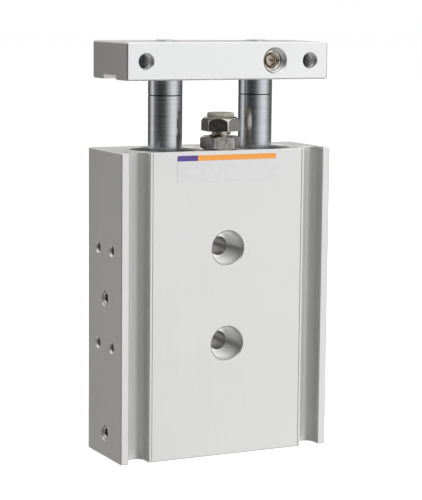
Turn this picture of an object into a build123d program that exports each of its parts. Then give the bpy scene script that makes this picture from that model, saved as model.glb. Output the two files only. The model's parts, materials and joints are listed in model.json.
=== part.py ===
from build123d import *
import math
import os

# Twin rod pneumatic cylinder: two pistons side by side in one extruded block push two rods
# that share one end plate. Millimetres, +Z up along the rods, standing on the block's lower
# end, -Y is the front with the sensor slots, the origin is the middle of the lower end.

# Working values of the cylinder
stroke = 20.0
extension = 8.95
stop_gap = 0.2
bore_diameter = 20.0
rod_diameter = 9.5

# Extruded block
web = 8.0
side_wall = 8.0
face_wall = 1.7
lip_width = 2.3
lip_setback = 0.2
slot_width = 5.95
slot_depth = 5.0
slot_floor_radius = 2.4
slot_mouth_radius = 0.25
body_corner = 0.2
end_chamfer = 0.25
scribe_inset = 0.85
scribe_width = 0.25
scribe_depth = 0.2

# Seats at both ends of the bores
cover_step = 0.3
mouth_depth = 1.0
mouth_chamfer = 0.4
ring_thickness = 1.0
ring_slack = 0.1
ring_groove_depth = 0.5
ring_width = 1.5
ring_gap = 5.0
ring_ear_radius = 1.35
ring_ear_hole = 0.5

# Clearances
static_gap = 0.03
running_gap = 0.03
piston_gap = 0.07
face_gap = 0.02
rod_bore_gap = 0.35

# Head covers
head_flange = 3.0
head_nose_radius = 7.5
head_nose = 2.5
head_bumper_radius = 6.5
head_bumper_sink = 0.9
head_bumper_stand = 1.0

# Rod covers, bushes and seals
rod_nose_radius = 7.4
rod_nose = 5.6
rod_bumper_radius = 6.6
rod_bumper_sink = 0.8
rod_bumper_stand = 0.8
bush_wall = 1.1
bush_length = 31.0
bush_reach = 2.5
seal_wall = 2.5
seal_height = 4.5
seal_lip = 1.6
retainer_thickness = 1.2
retainer_margin = 1.0
seal_shelf = 1.2
o_ring_section = 1.4
o_ring_groove_width = 1.7
o_ring_offset = 4.0

# Pistons
piston_length = 12.6
piston_edge = 0.4
piston_seal_offset = 1.6
piston_seal_width = 2.2
piston_seal_depth = 2.0
magnet_offset = 5.0
magnet_width = 3.0
magnet_depth = 2.5
magnet_sink = 0.35
wear_offset = 9.2
wear_width = 2.0
wear_depth = 1.0
wear_split = 0.6
stub_diameter = 6.0
piston_nut_flats = 9.0
piston_nut_height = 2.8
piston_nut_recess = 3.2
piston_nut_margin = 0.2

# Rods and their end pieces
rod_bore_diameter = 5.0
rod_bore_floor = 10.0
rod_joint_chamfer = 0.15
rod_end_collar = 4.5
spigot_length = 8.0
stud_diameter = 7.9
stud_gap = 0.05
stud_tip_diameter = 5.1
stud_tip_height = 0.5
stud_tip_chamfer = 0.2
stud_socket_flats = 2.5
stud_socket_depth = 2.2

# End plate
plate_overhang = 16.65
plate_depth = 23.4
plate_thickness = 10.3
plate_edge = 0.35
plate_slot_width = 8.4
plate_slot_depth = 1.3
plate_thread_radius = 2.1
plate_thread_inset = 5.65
plate_thread_depth = 8.0
plate_thread_chamfer = 0.25
set_screw_radius = 3.1
set_screw_mouth = 0.6
set_screw_recess = 2.0
set_screw_flats = 3.5
set_screw_socket = 2.6
set_screw_chamfer = 0.4

# Bumper bolt, its lock nut and its bumper
bolt_setback = 5.4
bolt_diameter = 5.9
bolt_gap = 0.05
bolt_engagement = 17.0
bolt_hole_spare = 2.0
lock_nut_flats = 10.0
lock_nut_height = 3.65
lock_nut_face_share = 0.95
lock_nut_slope = 30.0
lock_nut_turn = 44.2
head_lift = 1.4
bolt_head_flats = 9.5
bolt_head_height = 4.1
bolt_head_crown = 2.2
bolt_head_turn = 26.4
bumper_height = 0.95
bumper_diameter = 7.5
bumper_edge = 0.3
bumper_stem_diameter = 5.0
bumper_stem_length = 1.8

# Mounting holes
hole_low = 31.6
hole_top_inset = 27.1
hole_diameter = 5.3
counterbore_diameter = 9.5
counterbore_depth = 6.0
counterbore_chamfer = 0.3
side_hole_spacing = 9.4
side_hole_radius = 1.25
side_hole_depth = 6.0
side_hole_chamfer = 0.5

# Air ports
port_radius = 2.1
port_depth = 5.0
port_chamfer = 0.2
passage_radius = 1.25
head_port_rise = 1.7
rod_port_drop = 3.3
plug_recess = 0.5
plug_length = 3.6
plug_flats = 2.5
plug_socket = 1.8

# Levels worked out along the rods
head_cover_bottom = mouth_depth + ring_thickness + ring_slack
head_seat = head_cover_bottom + head_flange
head_nose_top = head_seat + head_nose
head_stop = head_nose_top + head_bumper_stand
piston_bottom = head_stop + stop_gap + extension
piston_top = piston_bottom + piston_length
rod_stop = head_stop + 2 * stop_gap + stroke + piston_length
rod_nose_bottom = rod_stop + rod_bumper_stand
rod_seat = rod_nose_bottom + rod_nose
bush_bottom = rod_seat - bush_reach
bush_top = bush_bottom + bush_length
seal_bottom = bush_top + seal_shelf
retainer_bottom = seal_bottom + seal_height
rod_cover_top = retainer_bottom + retainer_thickness
body_height = rod_cover_top + ring_thickness + ring_slack + mouth_depth
head_port_level = head_seat + head_port_rise
rod_port_level = rod_seat - rod_port_drop
lock_nut_top = body_height + face_gap + lock_nut_height
bolt_head_bottom = lock_nut_top + head_lift
bolt_head_top = bolt_head_bottom + bolt_head_height
bumper_top = bolt_head_top + face_gap + bumper_height
plate_bottom = bumper_top + stop_gap + extension
plate_top = plate_bottom + plate_thickness
rod_top = plate_bottom - rod_end_collar
hole_levels = (hole_low, body_height - hole_top_inset)

# Places across the rods
rod_pitch = bore_diameter + web
body_width = rod_pitch + bore_diameter + 2 * side_wall
body_depth = bore_diameter + 2 * face_wall
face_width = body_width - 2 * (slot_width + lip_width)
plate_width = rod_pitch + 2 * plate_overhang
plate_thread_spacing = plate_width - 2 * plate_thread_inset
bore_radius = bore_diameter / 2
cover_bore_radius = bore_radius + cover_step
rod_radius = rod_diameter / 2
cover_radius = cover_bore_radius - static_gap
bolt_y = bolt_setback - body_depth / 2
sides = {"left": -1, "right": 1}


def turned(points, x=0.0, y=0.0):
    """Solid turned about a vertical axis from a list of radius and height pairs."""
    outline = make_face(Polyline(*points, close=True))
    return Pos(x, y, 0) * revolve(Plane.XZ * outline, Axis.Z)


def upright(radius, low, high, x=0.0, y=0.0):
    return Pos(x, y, (low + high) / 2) * Cylinder(radius, high - low)


def ring(inner, outer, low, high, x=0.0, y=0.0):
    return upright(outer, low, high, x, y) - upright(inner, low, high, x, y)


def along_x(radius, start, end, y, z):
    return Pos((start + end) / 2, y, z) * Rot(0, 90, 0) * Cylinder(radius, abs(end - start))


def along_y(radius, start, end, x, z):
    return Pos(x, (start + end) / 2, z) * Rot(90, 0, 0) * Cylinder(radius, abs(end - start))


def cone_x(face, outward, radius, size, y, z):
    """Countersink of one hole in a side face; outward is -1 or 1."""
    cutter = Cone(radius, radius + size, size)
    return Pos(face - outward * size / 2, y, z) * Rot(0, 90 * outward, 0) * cutter


def cone_y(face, outward, radius, size, x, z):
    """Countersink of one hole in the front or back face; outward is -1 or 1."""
    cutter = Cone(radius, radius + size, size)
    return Pos(x, face - outward * size / 2, z) * Rot(-90 * outward, 0, 0) * cutter


def hexagon_prism(flats, length):
    return extrude(RegularPolygon(flats / 2, 6, major_radius=False), length / 2, both=True)


def socket_along_x(flats, face, outward, depth, y, z):
    shape = Rot(0, 90, 0) * hexagon_prism(flats, depth)
    return Pos(face - outward * depth / 2, y, z) * shape


def socket_along_y(flats, face, outward, depth, x, z):
    shape = Rot(90, 0, 0) * hexagon_prism(flats, depth)
    return Pos(x, face - outward * depth / 2, z) * shape


def slot_cutter(side):
    """Sensor slot in plan, open at the front, with a rounded floor."""
    front = lip_setback - body_depth / 2
    floor = front + slot_depth
    middle = side * (face_width + slot_width) / 2
    shape = Pos(middle, floor - body_depth / 4) * Rectangle(slot_width, body_depth / 2)
    corners = shape.vertices().group_by(Axis.Y)[-1]
    return fillet(corners, slot_floor_radius)


def block_profile():
    """Section of the extrusion: face in the middle, a slot and a set-back lip at each side."""
    front = -body_depth / 2
    profile = Rectangle(body_width, body_depth)
    for side in sides.values():
        lip_middle = side * (body_width + face_width) / 4
        lip_cut_width = (body_width - face_width) / 2
        profile -= Pos(lip_middle, front) * Rectangle(lip_cut_width, 2 * lip_setback)
        profile -= slot_cutter(side)
    outer = [v for v in profile.vertices() if abs(abs(v.X) - body_width / 2) < 1e-6]
    profile = chamfer(outer, body_corner)
    slot_edges = (face_width / 2, face_width / 2 + slot_width)
    mouths = []
    for vertex in profile.vertices():
        near_front = vertex.Y < front + lip_setback + 1e-6
        if near_front and min(abs(abs(vertex.X) - edge) for edge in slot_edges) < 1e-6:
            mouths.append(vertex)
    return fillet(mouths, slot_mouth_radius)


def scribe_cutter(side):
    """Fine line that runs down the front face beside each slot."""
    x = side * (face_width / 2 - scribe_inset)
    line = Box(scribe_width, 2 * scribe_depth, body_height)
    return Pos(x, -body_depth / 2, body_height / 2) * line


def bore_cutter(x):
    """One bore with its stepped seats, the two ring grooves and the chamfered mouths."""
    groove_radius = cover_bore_radius + ring_groove_depth
    groove_height = ring_thickness + ring_slack
    top_groove = body_height - mouth_depth
    mouth_radius = cover_bore_radius + mouth_chamfer
    profile = [
        (0, 0),
        (mouth_radius, 0),
        (cover_bore_radius, mouth_chamfer),
        (cover_bore_radius, mouth_depth),
        (groove_radius, mouth_depth),
        (groove_radius, mouth_depth + groove_height),
        (cover_bore_radius, mouth_depth + groove_height),
        (cover_bore_radius, head_seat),
        (bore_radius, head_seat),
        (bore_radius, rod_seat),
        (cover_bore_radius, rod_seat),
        (cover_bore_radius, top_groove - groove_height),
        (groove_radius, top_groove - groove_height),
        (groove_radius, top_groove),
        (cover_bore_radius, top_groove),
        (cover_bore_radius, body_height - mouth_chamfer),
        (mouth_radius, body_height),
        (0, body_height),
    ]
    return turned(profile, x)


def through_hole(z):
    """Mounting hole from front to back with a counterbore at each end."""
    half = body_depth / 2
    floor = half - counterbore_depth
    cutter = along_y(hole_diameter / 2, -half, half, 0, z)
    for outward in (-1, 1):
        cutter += along_y(counterbore_diameter / 2, outward * floor, outward * half, 0, z)
        cutter += cone_y(outward * half, outward, counterbore_diameter / 2, counterbore_chamfer, 0, z)
    return cutter


def side_threads(z):
    """Tapped holes in both side faces at one level."""
    half = body_width / 2
    cutters = []
    for outward in (-1, 1):
        for y in (-side_hole_spacing / 2, side_hole_spacing / 2):
            inner = outward * (half - side_hole_depth)
            cutters.append(along_x(side_hole_radius, inner, outward * half, y, z))
            cutters.append(cone_x(outward * half, outward, side_hole_radius, side_hole_chamfer, y, z))
    return cutters


def port_cutters(z):
    """Port in each side face, joined by one passage through both bores."""
    half = body_width / 2
    cutters = [along_x(passage_radius, -half, half, 0, z)]
    for outward in (-1, 1):
        inner = outward * (half - port_depth)
        cutters.append(along_x(port_radius, inner, outward * half, 0, z))
        cutters.append(cone_x(outward * half, outward, port_radius, port_chamfer, 0, z))
    return cutters


def housing():
    block = extrude(block_profile(), body_height)
    block = chamfer(block.edges().filter_by(Plane.XY), end_chamfer)
    for side in sides.values():
        block -= scribe_cutter(side)
        block -= bore_cutter(side * rod_pitch / 2)
    for z in hole_levels:
        block -= through_hole(z)
        for cutter in side_threads(z):
            block -= cutter
    for z in (head_port_level, rod_port_level):
        for cutter in port_cutters(z):
            block -= cutter
    floor = body_height - bolt_engagement - bolt_hole_spare
    block -= upright(bolt_diameter / 2 + bolt_gap, floor, body_height, 0, bolt_y)
    return block


def snap_ring(low, x):
    """Open retaining ring with two plier eyes, its gap towards the back."""
    high = low + ring_thickness
    outer = cover_bore_radius + ring_groove_depth - static_gap
    inner = outer - ring_groove_depth - ring_width
    shape = ring(inner, outer, low, high, x)
    eye_x = ring_gap / 2 + ring_ear_radius / 2
    eye_y = math.sqrt((inner + ring_width / 2 - ring_ear_radius / 2) ** 2 - eye_x ** 2)
    for side in (-1, 1):
        shape += upright(ring_ear_radius, low, high, x + side * eye_x, eye_y)
    gap = Box(ring_gap - ring_ear_radius, outer, ring_thickness)
    shape -= Pos(x, outer / 2 + inner / 2, (low + high) / 2) * gap
    for side in (-1, 1):
        shape -= upright(ring_ear_hole, low, high, x + side * eye_x, eye_y)
    return shape


def o_ring(low, x):
    """Round cord ring that sits in a cover's groove whose lower edge is at this height."""
    cord = o_ring_section / 2
    middle = cover_bore_radius - static_gap - cord
    return Pos(x, 0, low + o_ring_groove_width / 2) * Torus(middle, cord)


def o_ring_groove(low):
    """Points of the groove in a cover's outline, from its lower edge upwards."""
    floor = cover_bore_radius - static_gap - o_ring_section - static_gap
    high = low + o_ring_groove_width
    return [(cover_radius, low), (floor, low), (floor, high), (cover_radius, high)]


def head_groove_low():
    return head_cover_bottom + (head_flange - o_ring_groove_width) / 2


def head_cover(x):
    recess = head_nose_top - head_bumper_sink
    pocket = head_bumper_radius + static_gap
    low_edge = (cover_radius, head_cover_bottom)
    top_edge = (cover_radius, head_seat)
    profile = [(0, head_cover_bottom), low_edge] + o_ring_groove(head_groove_low()) + [top_edge]
    profile += [(head_nose_radius, head_seat), (head_nose_radius, head_nose_top)]
    profile += [(pocket, head_nose_top), (pocket, recess), (0, recess)]
    return turned(profile, x)


def head_bumper(x):
    return upright(head_bumper_radius, head_nose_top - head_bumper_sink, head_stop, x)


def rod_cover(x):
    """Long guide in the upper end of a bore, bored for the bush, the seal and its retainer."""
    bush_pocket = rod_radius + running_gap + bush_wall + static_gap
    seal_pocket = rod_radius + seal_wall + static_gap
    retainer_pocket = seal_pocket + retainer_margin + static_gap
    clear = rod_radius + rod_bore_gap
    bumper_pocket = rod_bumper_radius + static_gap
    bumper_floor = rod_nose_bottom + rod_bumper_sink
    profile = [
        (bumper_pocket, rod_nose_bottom),
        (rod_nose_radius, rod_nose_bottom),
        (rod_nose_radius, rod_seat),
        (cover_radius, rod_seat),
    ]
    profile += o_ring_groove(rod_seat + o_ring_offset)
    profile += [
        (cover_radius, rod_cover_top),
        (retainer_pocket, rod_cover_top),
        (retainer_pocket, retainer_bottom),
        (seal_pocket, retainer_bottom),
        (seal_pocket, seal_bottom),
        (clear, seal_bottom),
        (clear, bush_top),
        (bush_pocket, bush_top),
        (bush_pocket, bush_bottom),
        (clear, bush_bottom),
        (clear, bumper_floor),
        (bumper_pocket, bumper_floor),
    ]
    return turned(profile, x)


def rod_bumper(x):
    inner = rod_radius + rod_bore_gap
    top = rod_nose_bottom + rod_bumper_sink
    return ring(inner, rod_bumper_radius, rod_stop, top, x)


def rod_bush(x):
    inner = rod_radius + running_gap
    return ring(inner, inner + bush_wall, bush_bottom, bush_top, x)


def rod_seal(x):
    """Lip seal whose lower side is hollowed so that the air presses its lip on the rod."""
    inner = rod_radius + running_gap
    outer = rod_radius + seal_wall
    middle = (inner + outer) / 2
    quarter = (outer - inner) / 4
    profile = [
        (inner, seal_bottom),
        (inner + quarter, seal_bottom),
        (middle, seal_bottom + seal_lip),
        (outer - quarter, seal_bottom),
        (outer, seal_bottom),
        (outer, retainer_bottom),
        (inner, retainer_bottom),
    ]
    return turned(profile, x)


def seal_retainer(x):
    inner = rod_radius + rod_bore_gap
    outer = rod_radius + seal_wall + static_gap + retainer_margin
    return ring(inner, outer, retainer_bottom, rod_cover_top, x)


def piston(x):
    """Piston with grooves for seal, magnet and wear ring, and a recess for its nut."""
    outer = bore_radius - piston_gap
    seal_floor = outer - piston_seal_depth
    magnet_floor = outer - magnet_depth
    wear_floor = outer - wear_depth
    recess = piston_nut_flats / math.sqrt(3) + piston_nut_margin
    hole = stub_diameter / 2 + static_gap
    seal_high = piston_top - piston_seal_offset
    magnet_high = piston_top - magnet_offset
    wear_high = piston_top - wear_offset
    profile = [
        (hole, piston_top),
        (outer - piston_edge, piston_top),
        (outer, piston_top - piston_edge),
        (outer, seal_high),
        (seal_floor, seal_high),
        (seal_floor, seal_high - piston_seal_width),
        (outer, seal_high - piston_seal_width),
        (outer, magnet_high),
        (magnet_floor, magnet_high),
        (magnet_floor, magnet_high - magnet_width),
        (outer, magnet_high - magnet_width),
        (outer, wear_high),
        (wear_floor, wear_high),
        (wear_floor, wear_high - wear_width),
        (outer, wear_high - wear_width),
        (outer, piston_bottom + piston_edge),
        (outer - piston_edge, piston_bottom),
        (recess, piston_bottom),
        (recess, piston_bottom + piston_nut_recess),
        (hole, piston_bottom + piston_nut_recess),
    ]
    return turned(profile, x)


def piston_seal(x):
    inner = bore_radius - piston_gap - piston_seal_depth + static_gap
    high = piston_top - piston_seal_offset - face_gap
    low = high - piston_seal_width + 2 * face_gap
    return ring(inner, bore_radius - running_gap, low, high, x)


def piston_magnet(x):
    inner = bore_radius - piston_gap - magnet_depth + static_gap
    high = piston_top - magnet_offset - face_gap
    low = high - magnet_width + 2 * face_gap
    return ring(inner, bore_radius - piston_gap - magnet_sink, low, high, x)


def wear_ring(x):
    """Guide strip bent into a ring, with the cut where its ends meet."""
    inner = bore_radius - piston_gap - wear_depth + static_gap
    outer = bore_radius - running_gap
    high = piston_top - wear_offset - face_gap
    low = high - wear_width + 2 * face_gap
    cut = Pos(x, outer, (low + high) / 2) * Box(wear_split, outer, wear_width)
    return ring(inner, outer, low, high, x) - cut


def piston_nut(x):
    high = piston_bottom + piston_nut_recess
    low = high - piston_nut_height
    shape = Pos(x, 0, (low + high) / 2) * hexagon_prism(piston_nut_flats, piston_nut_height)
    return shape - upright(stub_diameter / 2 + static_gap, low, high, x)


def piston_rod(x):
    """Hollow rod with a stub for the piston below and a socket for the end piece above."""
    bore = rod_bore_diameter / 2
    stub = stub_diameter / 2
    stub_bottom = piston_bottom + piston_nut_recess - piston_nut_height
    floor = piston_top + rod_bore_floor
    profile = [
        (0, stub_bottom),
        (stub, stub_bottom),
        (stub, piston_top),
        (rod_radius, piston_top),
        (rod_radius, rod_top - rod_joint_chamfer),
        (rod_radius - rod_joint_chamfer, rod_top),
        (bore, rod_top),
        (bore, floor),
        (0, floor),
    ]
    return turned(profile, x)


def rod_end(x):
    """End piece of a rod: spigot in the rod, collar under the plate, stud through the plate."""
    spigot = rod_bore_diameter / 2 - static_gap
    stud = stud_diameter / 2
    tip = stud_tip_diameter / 2
    tip_top = plate_top + stud_tip_height
    profile = [
        (0, rod_top - spigot_length),
        (spigot, rod_top - spigot_length),
        (spigot, rod_top),
        (rod_radius - rod_joint_chamfer, rod_top),
        (rod_radius, rod_top + rod_joint_chamfer),
        (rod_radius, plate_bottom),
        (stud, plate_bottom),
        (stud, plate_top - stud_tip_height),
        (tip, plate_top - stud_tip_height),
        (tip, tip_top - stud_tip_chamfer),
        (tip - stud_tip_chamfer, tip_top),
        (0, tip_top),
    ]
    socket = Pos(x, 0, tip_top - stud_socket_depth / 2) * hexagon_prism(stud_socket_flats, stud_socket_depth)
    return turned(profile, x) - socket


def end_plate():
    block = Pos(0, 0, (plate_bottom + plate_top) / 2) * Box(plate_width, plate_depth, plate_thickness)
    block = chamfer(block.edges(), plate_edge)
    slot_middle = plate_bottom + plate_slot_depth / 2
    block -= Pos(0, 0, slot_middle) * Box(plate_width, plate_slot_width, plate_slot_depth)
    front = -plate_depth / 2
    middle = (plate_bottom + plate_top) / 2
    for side in sides.values():
        x = side * rod_pitch / 2
        block -= upright(stud_diameter / 2 + stud_gap, plate_bottom, plate_top, x)
        thread_x = side * plate_thread_spacing / 2
        block -= along_y(plate_thread_radius, front, front + plate_thread_depth, thread_x, middle)
        block -= cone_y(front, -1, plate_thread_radius, plate_thread_chamfer, thread_x, middle)
    x = rod_pitch / 2
    block -= along_y(set_screw_radius, front, 0, x, middle)
    block -= cone_y(front, -1, set_screw_radius, set_screw_mouth, x, middle)
    return block


def set_screw():
    """Socket set screw that clamps the right stud from the front of the plate."""
    radius = set_screw_radius - static_gap
    outer = set_screw_recess - plate_depth / 2
    inner = -stud_diameter / 2 - face_gap
    middle = (plate_bottom + plate_top) / 2
    x = rod_pitch / 2
    shape = along_y(radius, outer, inner, x, middle)
    shape = chamfer(shape.edges().filter_by(GeomType.CIRCLE), set_screw_chamfer)
    return shape - socket_along_y(set_screw_flats, outer, -1, set_screw_socket, x, middle)


def port_plug(z):
    """Socket plug in a left port."""
    outer = plug_recess - body_width / 2
    shape = along_x(port_radius - static_gap, outer, outer + plug_length, 0, z)
    return shape - socket_along_x(plug_flats, outer, -1, plug_socket, 0, z)


def lock_nut():
    """Hexagon nut with its corners turned off at both faces."""
    low = body_height + face_gap
    corner = lock_nut_flats / math.sqrt(3)
    face = lock_nut_face_share * lock_nut_flats / 2
    fall = (corner - face) * math.tan(math.radians(lock_nut_slope))
    envelope = turned([
        (0, low),
        (face, low),
        (corner, low + fall),
        (corner, lock_nut_top - fall),
        (face, lock_nut_top),
        (0, lock_nut_top),
    ], 0, bolt_y)
    prism = hexagon_prism(lock_nut_flats, lock_nut_height)
    shape = Pos(0, bolt_y, (low + lock_nut_top) / 2) * Rot(0, 0, lock_nut_turn) * prism & envelope
    return shape - upright(bolt_diameter / 2 + bolt_gap, low, lock_nut_top, 0, bolt_y)


def bolt_head():
    """Hexagon head whose corners are rounded off towards the top."""
    corner = bolt_head_flats / math.sqrt(3)
    envelope = upright(corner, bolt_head_bottom, bolt_head_top, 0, bolt_y)
    top_edge = envelope.edges().filter_by(GeomType.CIRCLE).sort_by(Axis.Z)[-1]
    envelope = fillet(top_edge, bolt_head_crown)
    prism = hexagon_prism(bolt_head_flats, bolt_head_height)
    middle = (bolt_head_bottom + bolt_head_top) / 2
    return Pos(0, bolt_y, middle) * Rot(0, 0, bolt_head_turn) * prism & envelope


def bumper_bolt():
    """Hexagon bolt in the block's top whose head carries the bumper."""
    tip = body_height - bolt_engagement
    shape = bolt_head() + upright(bolt_diameter / 2, tip, bolt_head_bottom, 0, bolt_y)
    pocket = bumper_stem_diameter / 2 + bolt_gap
    floor = bolt_head_top - bumper_stem_length
    return shape - upright(pocket, floor, bolt_head_top, 0, bolt_y)


def bolt_bumper():
    radius = bumper_diameter / 2
    stem = bumper_stem_diameter / 2
    foot = bolt_head_top + face_gap
    stem_bottom = bolt_head_top - bumper_stem_length + face_gap
    profile = [
        (0, stem_bottom),
        (stem, stem_bottom),
        (stem, foot),
        (radius, foot),
        (radius, bumper_top - bumper_edge),
        (radius - bumper_edge, bumper_top),
        (0, bumper_top),
    ]
    return turned(profile, 0, bolt_y)


def make_parts():
    parts = {"housing": housing()}
    top_ring = rod_cover_top
    bottom_ring = mouth_depth
    for name, side in sides.items():
        x = side * rod_pitch / 2
        parts["rod_cover_" + name] = rod_cover(x)
        parts["rod_bush_" + name] = rod_bush(x)
        parts["rod_seal_" + name] = rod_seal(x)
        parts["seal_retainer_" + name] = seal_retainer(x)
        parts["rod_cover_o_ring_" + name] = o_ring(rod_seat + o_ring_offset, x)
        parts["rod_snap_ring_" + name] = snap_ring(top_ring, x)
        parts["rod_side_bumper_" + name] = rod_bumper(x)
        parts["head_cover_" + name] = head_cover(x)
        parts["head_cover_o_ring_" + name] = o_ring(head_groove_low(), x)
        parts["head_snap_ring_" + name] = snap_ring(bottom_ring, x)
        parts["head_side_bumper_" + name] = head_bumper(x)
        parts["piston_" + name] = piston(x)
        parts["piston_seal_" + name] = piston_seal(x)
        parts["piston_magnet_" + name] = piston_magnet(x)
        parts["wear_ring_" + name] = wear_ring(x)
        parts["piston_nut_" + name] = piston_nut(x)
        parts["piston_rod_" + name] = piston_rod(x)
        parts["rod_end_" + name] = rod_end(x)
    parts["rod_port_plug"] = port_plug(rod_port_level)
    parts["head_port_plug"] = port_plug(head_port_level)
    parts["end_plate"] = end_plate()
    parts["plate_set_screw"] = set_screw()
    parts["lock_nut"] = lock_nut()
    parts["bumper_bolt"] = bumper_bolt()
    parts["bolt_bumper"] = bolt_bumper()
    return parts


os.makedirs("parts", exist_ok=True)
for node, shape in make_parts().items():
    export_step(shape, "parts/" + node + ".step")
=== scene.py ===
"""Twin rod pneumatic cylinder: fasteners, finishes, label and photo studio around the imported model.

Metres and radians, +Z up along the rods, -Y is the front with the sensor slots. Each piece is
modelled by its own operator, rides on the body that carries it, and keeps its place in its mesh.
"""

import json
import math

import bmesh
import bpy
from bpy.props import FloatProperty, FloatVectorProperty, IntProperty, PointerProperty
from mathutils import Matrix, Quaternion, Vector


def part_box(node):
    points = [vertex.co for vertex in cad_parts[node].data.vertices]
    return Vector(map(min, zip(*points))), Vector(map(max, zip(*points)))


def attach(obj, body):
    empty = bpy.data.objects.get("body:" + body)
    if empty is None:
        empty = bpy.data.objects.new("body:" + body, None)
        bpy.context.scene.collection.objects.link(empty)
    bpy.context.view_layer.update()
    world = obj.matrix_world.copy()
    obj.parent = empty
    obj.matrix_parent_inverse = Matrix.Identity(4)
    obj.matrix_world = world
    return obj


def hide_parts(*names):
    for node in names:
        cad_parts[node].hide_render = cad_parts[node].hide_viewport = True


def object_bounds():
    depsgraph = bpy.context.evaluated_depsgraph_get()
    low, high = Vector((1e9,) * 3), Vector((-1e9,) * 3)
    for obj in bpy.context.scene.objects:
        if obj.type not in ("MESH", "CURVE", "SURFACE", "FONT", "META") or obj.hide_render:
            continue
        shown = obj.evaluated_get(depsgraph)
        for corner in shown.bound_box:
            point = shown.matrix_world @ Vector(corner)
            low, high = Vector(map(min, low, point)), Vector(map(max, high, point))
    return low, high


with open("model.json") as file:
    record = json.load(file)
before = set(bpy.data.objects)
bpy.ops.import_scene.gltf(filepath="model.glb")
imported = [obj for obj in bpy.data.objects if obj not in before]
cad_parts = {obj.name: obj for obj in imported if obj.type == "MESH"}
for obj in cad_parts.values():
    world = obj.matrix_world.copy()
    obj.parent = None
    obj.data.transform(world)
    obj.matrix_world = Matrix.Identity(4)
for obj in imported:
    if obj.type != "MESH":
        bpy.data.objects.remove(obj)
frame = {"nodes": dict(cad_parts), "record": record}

bl_info = {
    "name": "Twin Rod Cylinder Looks",
    "version": (1, 0, 0),
    "blender": (4, 5, 0),
    "location": "3D View > Sidebar > Cylinder",
    "description": "Models the fasteners of a twin rod cylinder and dresses it for a studio picture",
    "category": "Object",
}

MM = 0.001
MERGE_DISTANCE = 1e-7
HEX_CORNERS = 6

# Steps round a turned piece, the bolt's thread, the thread in a hole, and the floor and wall
ROUND_STEPS = 96
THREAD_STEPS = 40
RIDGE_STEPS = 36
SURROUND_STEPS = 128
# The floor lies a hair below the block's foot
FLOOR_DROP = 0.00002

# Depth of a cut thread as a share of its pitch
THREAD_DEPTH = 0.61
# Threads in the tapped holes: pitch, height of the ridge, how far in it starts and how long it is
PLATE_THREAD = {"pitch": 0.0008, "ridge": 0.00022, "start": 0.0008, "depth": 0.0068}
CLAMP_THREAD = {"pitch": 0.0005, "ridge": 0.0002, "start": 0.0007, "depth": 0.0018}
SIDE_THREAD = {"pitch": 0.0005, "ridge": 0.00015, "start": 0.0008, "depth": 0.005}
PORT_THREAD = {"pitch": 0.0008, "ridge": 0.00022, "start": 0.0007, "depth": 0.0042}
# The clamp screw's thread is cut a little wider than the screw
CLAMP_THREAD_GAP = 0.00003

# The finish inside a hole begins this far below its mouth
MOUTH_DEPTH = 0.00004
# Half the height of the painted shade line between a rod and its end piece
JOINT_LINE = 0.00014
# A side hole ends above the first depth, and every hole above the second
SIDE_HOLE_DEPTH = 0.008
NO_BOTTOM = 1.0
# Step of the tool marks on a counterbore's floor
TOOL_STEP = 0.0006
# A sensor slot's finish begins this far behind the face and ends this far past its opening
SLOT_LIP = 0.0004
SLOT_SPARE = 0.001
# How far round a hole's axis its material reaches, in radii of the hole
THREAD_REACH = 1.25
PORT_REACH = 1.2
PLATE_HOLE_REACH = 1.3
# Depths between which the wall of a hole or socket goes over to its darker colour of painted shade
SIDE_HOLE_SHADE = (0.0003, 0.0015)
PLATE_HOLE_SHADE = (0.0016, 0.0042)
SCREW_HOLE_SHADE = (0.0004, 0.001)
SCREW_SOCKET_SHADE = (0.0005, 0.002)
PLUG_SOCKET_SHADE = (0.0006, 0.0012)

CAD_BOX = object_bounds()
HOUSING_LOW, HOUSING_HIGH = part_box("housing")
PLATE_LOW, PLATE_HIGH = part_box("end_plate")
NUT_LOW, NUT_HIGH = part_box("lock_nut")
BOLT_LOW, BOLT_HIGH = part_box("bumper_bolt")
BUMPER_LOW, BUMPER_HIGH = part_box("bolt_bumper")
SCREW_LOW, SCREW_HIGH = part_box("plate_set_screw")


def length(name, default, description):
    """A size in metres for a property group."""
    return FloatProperty(
        name=name, description=description, default=default, unit="LENGTH", subtype="DISTANCE",
        precision=5,
    )


def angle(name, degrees, description):
    """An angle in degrees for a property group."""
    return FloatProperty(
        name=name, description=description, default=math.radians(degrees), unit="ROTATION",
        subtype="ANGLE",
    )


def share(name, default, description):
    """A number from 0 to 1 for a property group."""
    return FloatProperty(
        name=name, description=description, default=default, min=0.0, max=1.0, subtype="FACTOR",
    )


def colour(name, default, description):
    """A base colour for a property group."""
    return FloatVectorProperty(
        name=name, description=description, default=default, min=0.0, max=1.0, size=3,
        subtype="COLOR",
    )


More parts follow.
